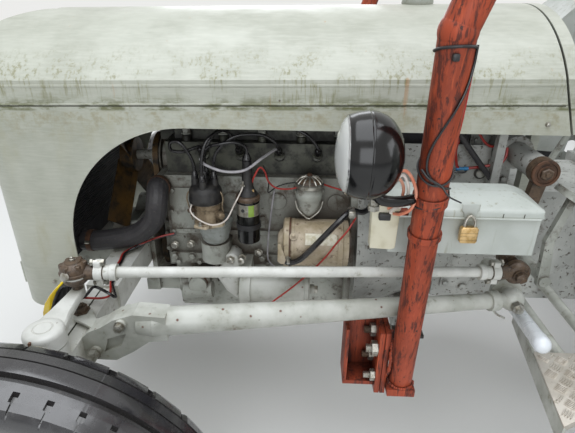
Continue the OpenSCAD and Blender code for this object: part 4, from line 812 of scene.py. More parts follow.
NODE_FINISHES = {
    "bonnet_enamel": ["bonnet", "dash_panel"],
    "grey_enamel_sheet": ["radiator_grille", "seat", "fenders", "front_rim_left", "front_rim_right", "rear_rim_left",
        "rear_rim_right"],
    "grey_enamel_bar": ["radius_rods", "oil_filter", "lift_rod_left", "lift_rod_right", "lower_link_left",
        "lower_link_right", "lift_arms"],
    "sooty_shaded_casting": ["cylinder_head"],
    "painted_iron_casting": ["engine_block", "sump", "dynamo", "front_support", "controls"],
    "flaking_iron_casting": ["steering_box", "clutch_housing", "rear_transmission", "rear_axle", "fuel_tank"],
    "white_enamel": ["axle_beam", "knuckle_left", "knuckle_right", "drag_link_left", "drag_link_right"],
    "scaled_iron": ["manifold", "exhaust_pipe"],
    "greasy_iron": ["drop_arm_left", "drop_arm_right"],
    "aged_lacquer": ["starter_motor"],
    "grimy_aluminium": ["oil_filler", "distributor"],
    "bakelite": ["ignition_coil"],
    "black_wire": ["plug_leads"],
    "dusty_black": ["radiator", "battery"],
    "shaded_ochre_enamel": ["cooling_fan"],
    "hose_rubber": ["coolant_hoses"],
    "red_oxide_primer": ["roll_hoop", "hoop_brackets"],
    "grey_green_enamel": ["tool_box", "tool_box_lid"],
    "black_lacquer": ["headlamps"],
    "black_plastic": ["marker_lamps", "steering_wheel"],
    "chequer_aluminium": ["footplates"],
    "wet_rubber": ["front_tyre_left", "front_tyre_right"],
    "dry_rubber": ["rear_tyre_left", "rear_tyre_right"],
}


class TRACTOR_OT_finishes(bpy.types.Operator):
    """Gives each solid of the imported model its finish"""

    bl_idname = "tractor.finishes"
    bl_label = "Finishes"

    def execute(self, context):
        for name, nodes in NODE_FINISHES.items():
            for node in nodes:
                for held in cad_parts[node].material_slots:
                    held.material = finish(name)
        left = set(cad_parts) - {n for nodes in NODE_FINISHES.values() for n in nodes}
        if left:
            raise RuntimeError(f"no finish for {sorted(left)}")
        return {"FINISHED"}


def bonnet_outline(outset, rear_x, corner_steps=8, bow_steps=10):
    """Points (x, y) from the rear of the bonnet's left side round its nose, held off the sheet by outset."""
    corner_y = BONNET_HALF - CORNER_R
    corner_x = NOSE_X + BOW_R - math.sqrt((BOW_R - CORNER_R) ** 2 - corner_y**2)
    limit = math.asin(corner_y / (BOW_R - CORNER_R))
    left = [(rear_x + (corner_x - rear_x) * i / 12, -BONNET_HALF - outset) for i in range(12)]
    for i in range(corner_steps + 1):
        a = (math.pi / 2 - limit) * i / corner_steps
        left.append((corner_x - (CORNER_R + outset) * math.sin(a), -corner_y - (CORNER_R + outset) * math.cos(a)))
    for i in range(1, bow_steps + 1):
        a = limit * (1 - i / bow_steps)
        left.append((NOSE_X + BOW_R - (BOW_R + outset) * math.cos(a), -(BOW_R + outset) * math.sin(a)))
    return left + [(x, -y) for x, y in reversed(left[:-1])]


def fall(x, height):
    """Height of a line of the bonnet at x, given its height at the rear edge."""
    return height - (BONNET_REAR_X - x) * BONNET_FALL


class TRACTOR_OT_bonnet_trim(bpy.types.Operator):
    """Rolled edges along the bonnet's crease and seam, the filler cap and the bonnet's bolts"""

    bl_idname = "tractor.bonnet_trim"
    bl_label = "Bonnet trim"

    def execute(self, context):
        edge = Shape()
        edge.tube("bonnet_enamel", [(x, y, fall(x, 964.5)) for x, y in bonnet_outline(-0.6, 951)], 2.6, 8, 1)
        # A thin dark tube under the seam's rolled edge: painted shadow in the gap
        edge.tube("shadow_gap", [(x, y, fall(x, 961.2)) for x, y in bonnet_outline(-0.9, 951)], 1.5, 6, 1)
        crease = [(x, y, fall(x, 1000)) for x, y in bonnet_outline(-6.2, 940) if x > -190]
        half = len(crease) // 2
        for run in (crease[:half], crease[half:]):
            edge.tube("bonnet_enamel", run, 7.4, 12, 1)
        edge.piece("bonnet_edges", "bonnet", "grey_paint")
        cap = Shape()
        top = fall(700, 1141)
        cap.turned("grey_enamel_sheet", [(-3, 34), (3, 36), (12, 35), (16, 31), (18, 12)], (700, 0, top),
            (-0.017, 0, 1))
        cap.block("grey_enamel_sheet", (672, 728), (-5, 5), (top + 14, top + 24), 2)
        cap.piece("fuel_cap", "bonnet", "grey_paint")
        bolts("bonnet_bolts", [((x, s * 264.5, z), (0, s, 0), 7) for s in (-1, 1) for x,
            z in ((-150, 520), (-100, 470), (925, 925))],
              "bonnet", "zinc_steel")
        return {"FINISHED"}


# Ignition leads from the cap's towers to the plugs and the coil
PLUG_LEADS = [
    [(200, -206, 774), (198, -208, 815), (176, -212, 856), (152, -206, 856), (148, -192, 834), (172, -182, 828),
    (204, -166, 836), (204, -150, 825.5)],
    [(222, -228, 774), (224, -234, 822), (238, -227, 868), (268, -200, 884), (288, -180, 862), (294, -166, 836),
    (294, -150, 825.5)],
    [(244, -206, 774), (250, -208, 830), (290, -206, 870), (345, -190, 874), (378, -178, 856), (388, -166, 836),
    (388, -150, 825.5)],
    [(222, -184, 774), (222, -180, 830), (268, -170, 886), (380, -164, 890), (450, -168, 870), (480, -166, 836),
    (480, -150, 825.5)],
    [(222, -206, 774), (222, -208, 826), (238, -217, 850), (262, -227, 860), (296, -222, 864), (318, -209, 850),
    (320, -206, 826), (320, -206, 819.5)],
]

# Thin wiring: finish, radius as a share of the wire's, points
WIRES = {
    "pale_lead": ("grey_wire", 2.0, [(217, -214, 822), (232, -226, 812), (273, -226, 798), (317, -222, 801),
        (352, -204, 822), (380, -160, 830), (389, -140, 824)]),
    "condenser_wire": ("white_wire", 1.1, [(196, -222, 724), (192, -240, 706), (212, -246, 687), (242, -244, 674),
        (272, -240, 685), (292, -234, 722), (306, -222, 748), (312, -212, 764)]),
    "coil_wire": ("red_wire", 1.25, [(330, -208, 764), (337, -214, 784), (349, -208, 803), (360, -205, 792),
        (367, -200, 768), (385, -196, 750), (417, -190, 746), (440, -186, 752), (466, -160, 756), (497, -170, 751),
        (520, -180, 747), (555, -184, 740), (590, -180, 735)]),
    "vacuum_pipe": ("grey_wire", 1.3, [(378, -150, 726), (374, -160, 700), (369, -166, 659), (364, -168, 610),
        (361, -168, 558), (366, -168, 534), (384, -168, 516), (398, -168, 508)]),
    "filler_wire": ("black_wire", 0.9, [(352, -160, 792), (360, -168, 776), (366, -172, 752), (364, -166, 726),
        (384, -170, 742), (408, -172, 752), (428, -176, 757)]),
    "battery_cable": ("black_wire", 4.2, [(398, -220, 600), (412, -262, 592), (440, -274, 604), (468, -276, 634),
        (500, -274, 672), (532, -262, 704), (556, -240, 716), (585, -222, 706), (612, -200, 716), (640, -170, 740)]),
    "loom_red": ("red_wire", 1.3, [(568, -240, 700), (548, -262, 676), (526, -270, 650), (502, -270, 612),
        (470, -262, 567), (436, -258, 528), (404, -256, 496), (370, -254, 464), (344, -250, 440), (330, -240, 428)]),
    "axle_loom": ("red_wire", 1.5, [(120, -150, 600), (80, -158, 592), (34, -166, 574), (2, -196, 566),
        (2, -226, 561.5), (4, -253, 561), (13, -307, 561), (17, -322, 561), (28, -352, 558), (34, -376, 562),
        (20, -392, 568), (-24, -390, 566), (-56, -384, 552)]),
    "axle_loom_dark": ("black_wire", 2.0, [(122, -146, 596), (86, -152, 590), (40, -162, 574), (8, -196, 567),
        (8, -226, 562), (10, -253, 562), (19, -307, 562), (25, -330, 562), (42, -362, 566), (58, -394, 574),
        (48, -400, 588), (22, -388, 592), (4, -376, 584), (-6, -392, 574), (-28, -396, 562), (-54, -392, 548)]),
    "tank_wire": ("red_wire", 2.0, [(792, -168, 892), (790, -174, 867), (786, -176, 852), (787, -177, 834),
        (791, -177, 817), (795, -176, 805), (800, -175, 800)]),
    "tank_wire_far": ("red_wire", 2.0, [(816, -175, 800), (839, -176, 804), (865, -178, 809), (884, -180, 812),
        (894, -180, 823), (898, -178, 836), (899, -172, 850)]),
    "dash_wire": ("red_wire", 1.7, [(822, -162, 896), (830, -170, 884), (840, -172, 870), (854, -173, 856),
        (868, -173, 852), (878, -172, 860), (880, -170, 875), (876, -162, 894)]),
    "earth_wire": ("black_wire", 1.4, [(764, -168, 806), (781, -176, 796), (797, -180, 793), (812, -179, 792),
        (819, -176, 799)]),
}

# Wires on the hoop's left post
POST_WIRES = {
    "lamp_wire": ("orange_wire", 1.7, [(588, -498, 898), (604, -494, 903), (618, -492, 888), (627, -492, 862),
        (622, -492, 838), (608, -486, 825), (600, -470, 818)]),
    "lamp_wire_pale": ("white_wire", 1.7, [(590, -492, 888), (604, -488, 893), (614, -486, 874), (615, -484, 852),
        (608, -480, 836), (598, -470, 826), (596, -462, 816)]),
    "lamp_wire_inner": ("orange_wire", 1.6, [(589, -486, 880), (600, -480, 884), (609, -478, 868), (608, -474, 846),
        (600, -466, 832), (592, -458, 822)]),
}


class TRACTOR_OT_wiring(bpy.types.Operator):
    """Ignition leads, cables and thin wires, each held at both ends"""

    bl_idname = "tractor.wiring"
    bl_label = "Wiring"

    def execute(self, context):
        leads = Shape()
        lead = mm(sizes().lead_radius)
        wire = mm(sizes().wire_radius)
        for route in PLUG_LEADS:
            leads.tube("black_wire", route, lead, 12, 9)
            x, y, z = route[0]
            leads.lathe("black_wire", [(0.3, 5), (0.3, 8), (3, 8.4), (9, 6.6), (16, 5.6), (18, 4)], (x, y, z), UP, 20)
        for route in PLUG_LEADS[:4]:
            x = route[-1][0]
            leads.lathe("black_wire", [(0.4, 6), (0.4, 9), (3, 9.8), (14, 9.2), (22, 8), (27, 5.4), (28, 4)],
                (x, -134, 815.2), (0, -0.84, 0.543), 20)
        leads.lathe("black_wire", [(0.4, 6), (0.4, 10.4), (3, 10.8), (9, 8), (16, 5.6), (18, 4)], (320, -206, 819),
            UP, 20)
        leads.piece("ignition_leads", slot="black_rubber", replaces=["plug_leads"])
        loom = Shape()
        for material, share, route in WIRES.values():
            loom.tube(material, route, wire * share, 8, 6)
        # Crimp, terminal and clip
        loom.lathe("blue_crimp", [(-1, 2), (0, 4.2), (9, 4.6), (10, 3.6), (17, 3.6), (18, 4.6), (27, 4.2), (28, 2)],
            (794, -175, 799), (1, 0, 0.04), 14)
        # Overflow hose beside the battery's cover
        loom.tube("hose_rubber", [(776, -182, 898), (789, -190, 878), (805, -190, 857), (845, -190, 810),
            (868, -188, 784), (886, -184, 762)], 6.2, 14, 7)
        loom.block("zinc_steel", (549, 565), (-256, -228), (704, 722), 3)
        loom.lathe("zinc_steel", [(0, 8), (4, 8), (4, 5), (12, 5)], (312, -212, 760), UP, 6, smooth=False)
        loom.piece("engine_wiring", slot="black_rubber")
        return {"FINISHED"}


def post_centre(z):
    """The middle of the hoop's left post at a height."""
    return POST_FOOT + POST_ALONG * (z - POST_FOOT.z) / POST_ALONG.z


def on_post(z, turn, lift=0.0):
    """A place on the left post's skin at a height, turned round it from its outer side towards the tail."""
    turn = math.radians(turn)
    outward = Vector(LEFT)
    outward = (outward - POST_ALONG * outward.dot(POST_ALONG)).normalized()
    tail = POST_ALONG.cross(outward)
    if tail.x < 0:
        tail = -tail
    return tuple(post_centre(z) + (outward * math.cos(turn) + tail * math.sin(turn)) * (POST_RADIUS + lift))


class TRACTOR_OT_post_trim(bpy.types.Operator):
    """Cable ties, the cable wound on the left post and the lamp's wires"""

    bl_idname = "tractor.post_trim"
    bl_label = "Hoop trim"

    def execute(self, context):
        trim = Shape()
        wire = mm(sizes().wire_radius)
        winding = [(1090, 70), (1062, 62), (1035, 40), (1010, 15), (985, -10), (960, -32), (935, -45), (912, -40),
            (895, -10), (885, 25), (878, 60), (868, 95)]
        trim.tube("black_wire", [on_post(z, a, 1.8) for z, a in winding], wire * 1.1, 8, 6)
        trim.tube("red_wire", [on_post(z, a, 2.0) for z, a in ((1085, 84), (1050, 88), (1010, 92), (975, 96),
            (950, 104))], wire * 1.3, 8, 6)
        for z, slant, size in ((1083, 10, 2.0), (906, -16, 1.7)):
            ring = [on_post(z + slant * math.cos(math.radians(a)), a, 1.4) for a in range(0, 361, 15)]
            trim.tube("black_plastic", ring, size, 8, 2)
        trim.block("black_plastic", (634, 643), (-548, -538), (1070, 1080), 2)
        trim.tube("black_plastic", [on_post(912, -60, 3), on_post(903, -30, 5), on_post(894, 5, 9), (664, -534, 878),
            (684, -534, 868)], 2.2, 8, 5, 1.2)
        for material, share, route in POST_WIRES.values():
            trim.tube(material, route, wire * share, 8, 6)
        trim.tube("black_wire", [on_post(868, 95, 2), on_post(856, 60, 2.2), on_post(850, 10, 2.2),
            on_post(846, -40, 2.2), (618, -482, 842)], wire, 8, 6)
        trim.piece("post_wires", slot="black_rubber")
        return {"FINISHED"}


class TRACTOR_OT_headlamps(bpy.types.Operator):
    """Bowl headlamps with a plated rim, clear glass and reflector, their brackets and the junction boxes"""

    bl_idname = "tractor.headlamps"
    bl_label = "Headlamps"

    def execute(self, context):
        lamp = Shape()
        centre, forward = (560, -500, 928), (-1, 0, 0)
        bowl = [(45, 58), (48, 60.2), (47, 61.4), (34, 65), (18.8, 67.4), (17.4, 66.4), (15.6, 66.4), (14.2, 67.4),
            (4, 66), (-8, 61.5), (-18, 54), (-27, 42.5), (-33, 30), (-37, 15), (-38.5, 0), (-36, 0), (-30, 30),
            (-8, 57), (14, 63), (40, 60)]
        lamp.lathe("black_lacquer", bowl, centre, forward, 64, closed=True)
        lamp.lathe("chrome", [(45.5, 56), (45.5, 58.6), (49.2, 60.4), (51, 58.8), (50, 56)], centre, forward, 56,
            closed=True)
        lamp.lathe("silvered", [(46.8, 57), (40, 51), (20, 37), (0, 21), (-12, 8), (-14, 0), (-15.5, 0), (-13.5, 9),
            (-1.5, 23), (18.5, 39.5), (40, 54), (45, 57.2)], centre, forward, 48, closed=True)
        lens = [(47.5, 56.5), (49.6, 58), (52.8, 55.6), (58, 46.5), (63, 32), (66, 16), (67, 0), (64.6, 0),
            (63.6, 15.5), (60.6, 31), (55.6, 45), (50, 54)]
        lamp.lathe("clear_glass", lens, centre, forward, 48, closed=True)
        lamp.ball("clear_glass", (556, -500, 928), 9, 12)
        lamp.tube("black_lacquer", [(560, -500, 868), (570, -500, 856), (596, -498, 852), (626, -486, 852)], 9, 14, 5)
        lamp.lathe("zinc_steel", [(0, 10), (8, 10), (8, 6), (18, 6)], (560, -500, 838), UP, 6, smooth=False)
        for z, h in ((852, 9), (782, 6)):
            lamp.lathe("red_oxide_primer", [(-h, 25.7), (-h, 28), (-h + 1, 28.8), (h - 1, 28.8), (h, 28), (h, 25.7)],
                post_centre(z), POST_ALONG, 40, closed=True)
        lamp.prism("cream_plastic", [(568, 740), (606, 738), (614, 741), (616, 822), (608, 828), (574, 828),
            (566, 818)], "y", -452, -430, 3)
        lamp.block("black_plastic", (578, 598), (-462, -448), (800, 812), 2)
        lamp.block("red_oxide_primer", (604, 630), (-452, -438), (806, 816), 1.5)
        lamp.mirrored()
        lamp.piece("bowl_headlamps", slot="black_paint", replaces=["headlamps"])
        return {"FINISHED"}


class TRACTOR_OT_hoop_feet(bpy.types.Operator):
    """Open boxes and bolted plates that carry the hoop, with weld beads and threaded bolts"""

    bl_idname = "tractor.hoop_feet"
    bl_label = "Hoop feet"

    def execute(self, context):
        foot = Shape()
        # The open box's floor, front and inner wall, the two bolted plates and the shelf under the post
        for x, y, z, bevel in (
            ((546, 616), (-404, -338), (364, 374), 1.2),
            ((546, 554), (-404, -338), (374, 516), 1.2),
            ((554, 616), (-346, -338), (374, 516), 1.0),
            ((616, 627.6), (-414, -338), (350, 516), 1.5),
            ((628.4, 640), (-414, -338), (350, 516), 1.5),
            ((640, 700), (-436, -376), (364, 383), 1.5),
        ):
            foot.block("red_oxide_primer", x, y, z, bevel)
        foot.block("oily_iron", (600, 632), (-338, -190), (352, 420), 2)
        foot.block("oily_iron", (632, 770), (-230, -190), (352, 362), 2)
        beads = random.Random(3)
        for k in range(26):
            t = k / 25
            place = (641 + 1.5 * t + beads.uniform(-0.6, 0.6), -400 - 24 * math.sin(math.pi * t), 386 + 126 * t)
            foot.ball("red_oxide_primer", place, beads.uniform(3.6, 5.2), 10)
        for k in range(20):
            a = math.radians(150 + 200 * k / 19)
            place = (672 + 27 * math.cos(a), -407 + 27 * math.sin(a), 384 + beads.uniform(0, 2))
            foot.ball("red_oxide_primer", place, beads.uniform(3.4, 4.6), 10)
        for y, z, end, r in ((-400, 390, 643, 7), (-398, 464, 643, 9), (-358, 412, 655, 7.5), (-358, 482, 655, 8)):
            thread = [(0, 0)] + [(1.0 + k * 1.2, r - 0.2 + 0.5 * (k % 2))
                for k in range(18)] + [(23, r), (end - 590, r), (end - 590, 0)]
            foot.lathe("greasy_iron" if y > -380 else "zinc_steel", thread, (590, y, z), AFT, 16)
            nut = r * 1.85
            foot.hexagon("zinc_steel", [(0, nut * 0.9), (1.2, nut), (r * 1.5, nut)], (615.8 - r * 1.5, y, z), AFT,
                turn=0.3)
            if end > 650:
                foot.hexagon("zinc_steel", [(0, nut), (9, nut), (10, nut * 0.9)], (640.2, y, z), AFT, turn=0.1)
        foot.mirrored()
        foot.piece("hoop_feet", slot="engine_paint", replaces=["hoop_brackets"])
        return {"FINISHED"}


class TRACTOR_OT_marker_lamps(bpy.types.Operator):
    """Marker lamps with a ribbed black housing and a yellow wrap-round lens, on plates ahead of the axle"""

    bl_idname = "tractor.marker_lamps"
    bl_label = "Marker lamps"

    def execute(self, context):
        lamp = Shape()
        # Outlines (x, z): the edge between lens and housing, the lens's outer side and the housing's back
        face = [(-79, 494), (-79, 523), (-75, 548), (-64, 574), (-52, 597), (-43, 609)]
        outer = [(-47, 611), (-56, 603), (-70, 587), (-84, 567), (-93, 544), (-96, 520), (-94, 493)]
        lamp.prism("yellow_lens", face + outer, "y", -416, -344, 3)
        back = [(-34, 608), (-41, 590), (-50, 565), (-60, 539), (-67, 512), (-72, 494)]
        lamp.prism("black_plastic", face + back, "y", -412, -348, 2)
        for y in range(-410, -350, 12):
            lamp.prism("black_plastic", face + [(x + 5, z) for x, z in back], "y", y, y + 4, 1)
        lamp.prism("black_plastic", face + [(x + 5, z - 1) for x, z in reversed(face)], "y", -418, -342, 1)
        lamp.block("painted_iron_casting", (-68, -30.2), (-394, -366), (520, 528), 1)
        lamp.mirrored()
        lamp.piece("side_marker_lamps", slot="engine_paint", replaces=["marker_lamps"])
        return {"FINISHED"}


class TRACTOR_OT_ignition(bpy.types.Operator):
    """Distributor with its cap, clips and governor cup, and the coil with its clamp and tower"""

    bl_idname = "tractor.ignition"
    bl_label = "Ignition"

    def execute(self, context):
        part, body_at, coil_at = Shape(), (224, -202, 657), (320, -206, 618)
        cup = [(0, 22), (3, 27), (9, 31.5), (14, 33), (34, 38), (50, 41.5), (54, 43.4), (58, 43.4), (59, 41.5),
            (60, 30)]
        part.turned("hammered_grey", cup, (234, -182, 600), UP, 44)
        body = [(0, 31), (5, 34), (9, 34.4), (11, 33), (46, 33.4), (48, 35.4), (52, 35.8), (56, 35.6), (60, 36.6),
            (64, 36.6)]
        part.turned("tarnished_alloy", body, body_at, UP, 44)
        part.ring("zinc_steel", (60.4, 63.4), (36, 37.6), body_at, UP, 44)
        cap = [(719, 38), (721, 39.4), (731, 39.4), (735, 37.8), (746, 37.4), (752, 35), (758, 29), (762, 18),
            (763, 0)]
        part.turned("bakelite", cap, (222, -206, 0), UP, 48)
        for x, y in ((200, -206), (222, -228), (244, -206), (222, -184), (222, -206)):
            part.turned("bakelite", [(740, 10.5), (752, 9.6), (768, 9), (774, 8), (775, 4)], (x, y, 0), UP, 20)
        # Spring clips, the vacuum unit's arm, the condenser and the low-tension terminal
        for s in (-1, 1):
            clip = [(224 + s * 35, -214, 672), (224 + s * 38.5, -216, 690), (222 + s * 39, -218, 712),
                (222 + s * 41.5, -218, 728), (222 + s * 38.5, -216, 741), (222 + s * 34, -214, 745)]
            part.tube("tarnished_alloy", clip, 1.8, 8, 5)
        part.lathe("greasy_iron", [(0, 0), (0, 8), (9, 8), (10, 5), (16, 5), (17, 0)], (196, -222, 704),
            (-0.6, -0.8, 0), 8, smooth=False)
        part.turned("tarnished_alloy", [(0, 9), (14, 9), (18, 7), (20, 0)], (250, -218, 690), (0.7, -0.7, 0), 20)
        part.prism("aged_lacquer", [(196, -238), (226, -247), (232, -238), (212, -226), (198, -226)], "z", 661, 669,
            1.5)
        part.prism("aged_lacquer", [(238, -238), (262, -230), (266, -218), (250, -222), (238, -230)], "z", 662, 670,
            1.5)
        part.hexagon("zinc_steel", [(0, 5), (4, 5), (4, 3), (9, 3)], (212, -240, 669))
        part.piece("distributor_assembly", slot="black_paint", replaces=["distributor"])
        coil = Shape()
        can = [(0, 24), (1.5, 26.2), (5, 27), (104, 27), (106, 26.4), (107, 0)]
        coil.turned("black_lacquer", can, coil_at, UP, 44)
        coil.turned("greasy_iron", [(106, 27), (108, 28.4), (115, 28.4), (118, 26.6), (119, 24)], coil_at, UP, 44)
        tower = [(118.6, 23), (122, 22.6), (126, 20), (132, 15.4), (140, 13.4), (170, 12), (188, 10.8), (200, 10.6),
            (201, 8)]
        coil.turned("bakelite", tower, coil_at, UP, 36)
        coil.ring("zinc_steel", (72, 101), (26.6, 27.5), coil_at, UP, 44)
        coil.strip("green_patch", (320, -206), (27.2, 27.9), (277, 305), "z", 691, 718.5)
        coil.turned("black_plastic", [(0, 4.2), (1, 4.2), (1.2, 0)], (310.6, -231.6, 706), (-0.32, -0.95, 0), 12)
        coil.ring("black_plastic", (37, 49), (27, 29.4), coil_at, UP, 44)
        coil.block("zinc_steel", (306, 334), (-180, -135.4), (655.3, 666.7), 1)
        for x in (307, 333):
            coil.turned("brass", [(0, 6), (5, 6), (6, 4), (6, 3), (15, 3), (16, 0)], (x, -214, 737), UP, 12)
        coil.piece("coil_assembly", slot="black_paint", replaces=["ignition_coil"])
        return {"FINISHED"}


class TRACTOR_OT_tool_box(bpy.types.Operator):
    """Tool box lid with rolled edge, hasp and brass padlock, and the hinge's knuckles"""

    bl_idname = "tractor.tool_box"
    bl_label = "Tool box lid"

    def execute(self, context):
        lid = Shape()
        # The lid's sides and its lower edge, and (height, inset) of the layers of its rounded roof
        x0, x1, y0, y1, z = 607, 891, -405, -302, 790
        roof = [(x0 + 10, y0), (x1 - 10, y0), (x1 - 3, y0 + 3), (x1, y0 + 10), (x1, y1), (x0, y1), (x0, y0 + 10),
            (x0 + 3, y0 + 3)]
        layers = [(z - 8, 0), (z + 3, 0), (z + 7, 2.5), (z + 9.5, 7), (z + 17, 40), (z + 21, 70)]
        rings = []
        for height, inset in layers:
            ring = []
            for x, y in roof:
                ring.append((min(max(x, x0 + inset * 0.55), x1 - inset * 0.55), min(max(y, y0 + inset), y1), height
                    + (y - y0) * 0.02))
            rings.append(ring)
        # The lid is open below, with walls 2 mm thick
        hollow = [
            [(x + (2 if x < 700 else -2), y + (2 if y < -350 else -2), height) for x, y in roof]
            for height in (z + 2, z - 8)
        ]
        points = [[lid.bm.verts.new(at(*p)) for p in ring] for ring in hollow + rings]
        lid._keep(lid._skin(points), "grey_green_enamel")
        for start, end in (
            ((x0 + 9, y0 - 1), (x1 - 9, y0 - 1)), ((x0 - 1, y0 + 9), (x0 - 1, y1 - 3)),
            ((x1 + 1, y0 + 9), (x1 + 1, y1 - 3)),
        ):
            lid.tube("grey_green_enamel", [(*start, z - 7), (*end, z - 7)], 2.2, 8, 1)
        # Thin dark slits in the lid's front edge: painted shadow in its gaps
        for x in (676, 742, 812, 850):
            lid.prism("shadow_gap", [(x, z - 9), (x + 1.4, z - 9), (x + 1.8, z + 3), (x + 0.8, z + 3)], "y", y0 - 0.8,
                y0 + 0.5)
        hasp = [(736, 812), (768, 812), (768, 800), (763, 794), (761, 778), (743, 778), (741, 794), (736, 800)]
        lid.prism("grey_green_enamel", hasp, "y", y0 - 3, y0 - 0.5, 0.8)
        # Padlock: laminated brass body, steel shackle
        body = [(736, 742), (739, 739), (765, 739), (768, 742), (768, 768), (765, 771), (739, 771), (736, 768)]
        lid.prism("brass", body, "y", y0 - 17, y0 - 5, 1.6)
        # Lines between the body's laminations: painted shadow
        for h in (746, 753, 760):
            lid.prism("shadow_gap", [(736.4, h), (767.6, h), (767.6, h + 0.3), (736.4, h + 0.3)], "y", y0 - 17.2,
                y0 - 16)
        lid.tube("zinc_steel", [(743, y0 - 11, 770), (743, y0 - 11, 779), (746, y0 - 10, 787), (752, y0 - 9, 791),
            (758, y0 - 10, 787), (761, y0 - 11, 779), (761, y0 - 11, 770)], 2.8, 10, 6)
        lid.piece("tool_box_cover", "tool_box_lid", "grey_paint", replaces=["tool_box_lid"])
        box = Shape()
        for a in (632, 806):
            for k in range(4):
                box.lathe("grey_green_enamel", [(0, 4), (0, 5.2), (13, 5.2), (13, 4)], (a + k * 14.5, -296, 788), AFT,
                    14)
        box.piece("tool_box_hinge", slot="grey_paint")
        return {"FINISHED"}


def front_tread(width, radius, bead, depth, blocks):
    """The front tyre's skin: for each small step round it, an angle and a ring of (offset from the middle, radius)."""
    h = width / 2
    shoulder = [(-h + 2, bead + 46), (-h, bead + 62), (-h + 1, radius - 30), (-h + 5, radius - 20)]
    rib_a = [(-h + 8, radius - 13, "out"), (-h + 10, radius - 12, "out"), (-h + 17, radius - 7.5, "out"),
        (-h + 18, radius - 7, "notch")]
    crown = rib_a + [
        (-h + 29, radius - 3.2, "notch"), (-h + 30, radius - 3, 0), (-23, radius - 1.4, 0),
        (-22, radius - 1.4 - depth, 0), (-10, radius - 0.8 - depth, 0),
        (-9, radius - 0.8, 0), (-2, radius, 0), (14, radius - 0.6, 0), (14.6, radius - 4, 0), (16.4, radius - 4, 0),
        (17, radius - 1, 0),
        (h - 32, radius - 2.6, 0), (h - 31.4, radius - 6, 0), (h - 29.8, radius - 6, 0), (h - 29, radius - 3, "block"),
        (h - 18, radius - 6.5, "block"), (h - 12, radius - 10, "block"), (h - 6, radius - 17, "block"),
    ]
    inner = [(h - 4, radius - 22, 0), (h - 1, radius - 30, 0), (h, bead + 62, 0), (h - 2, bead + 46, 0)]
    base = [(-47.7, bead + 0.4, 0), (-48, bead + 12, 0), (-53, bead + 16, 0), (-58, bead + 26, 0),
        (-60, bead + 30, 0), (-60, bead + 33, 0)]
    left = base + [(a, r, 0) for a, r in shoulder]
    right = inner + [(-a, r, 0) for a, r, _ in reversed(base)]
    rows = left + crown + right
    steps = []
    gap = 0.2  # Where the gap between two inner blocks starts, as a share of a block
    for i in range(blocks):
        # Notches of the outer rib, three to every two blocks, as shares of a block
        notches = (0.02, 0.69) if i % 2 == 0 else (0.36,)
        shares = {0.0, 0.995, *(gap + step for step in (0, 0.02, 0.05, 0.17, 0.2, 0.22))}
        for n in notches:
            shares |= {n + step for step in (0, 0.01, 0.055, 0.06, 0.085, 0.09, 0.135, 0.145)}
        for share in sorted(shares):
            cut = max(0, min(1, (share - gap) / 0.05, (gap + 0.22 - share) / 0.05))
            notch = any(n + 0.01 <= share <= n + 0.135 for n in notches)
            slit = any(n + 0.06 <= share <= n + 0.085 for n in notches)
            ring = []
            for a, r, kind in rows:
                if kind == "block":
                    r -= depth * 1.3 * cut
                if kind == "notch" and notch:
                    r -= depth * 0.9
                if kind == "out" and slit:
                    r -= depth * 0.5
                ring.append((a, r))
            steps.append((2 * math.pi * (i + share) / blocks, ring))
    return steps


class TRACTOR_OT_front_tyres(bpy.types.Operator):
    """Front tyres with shoulder blocks, ribs, a deep groove and notches"""

    bl_idname = "tractor.front_tyres"
    bl_label = "Front tyres"

    def execute(self, context):
        for side, s in SIDES:
            low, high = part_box(f"front_tyre_{side}")
            radius, width = (high.z - low.z) / 2 / MM, (high.y - low.y) / MM
            hub = (low + high) / 2
            tyre = Shape()
            rings = []
            for angle, ring in front_tread(width, radius, BEAD_R, mm(sizes().tread_depth), sizes().tread_blocks):
                rings.append([
                    tyre.bm.verts.new(hub + Vector((math.cos(angle) * r * MM, s * a * MM, math.sin(angle) * r * MM)))
                    for a, r in ring
                ])
            faces = []
            for one, two in zip(rings, rings[1:] + rings[:1]):
                for j in range(len(one)):
                    k = (j + 1) % len(one)
                    faces.append(tyre.bm.faces.new((one[j], one[k], two[k], two[j])))
            tyre._keep(faces, "wet_rubber")
            tyre.piece(f"tyre_front_{side}", f"front_wheel_{side}", "tyre_rubber", replaces=[f"front_tyre_{side}"])
        return {"FINISHED"}


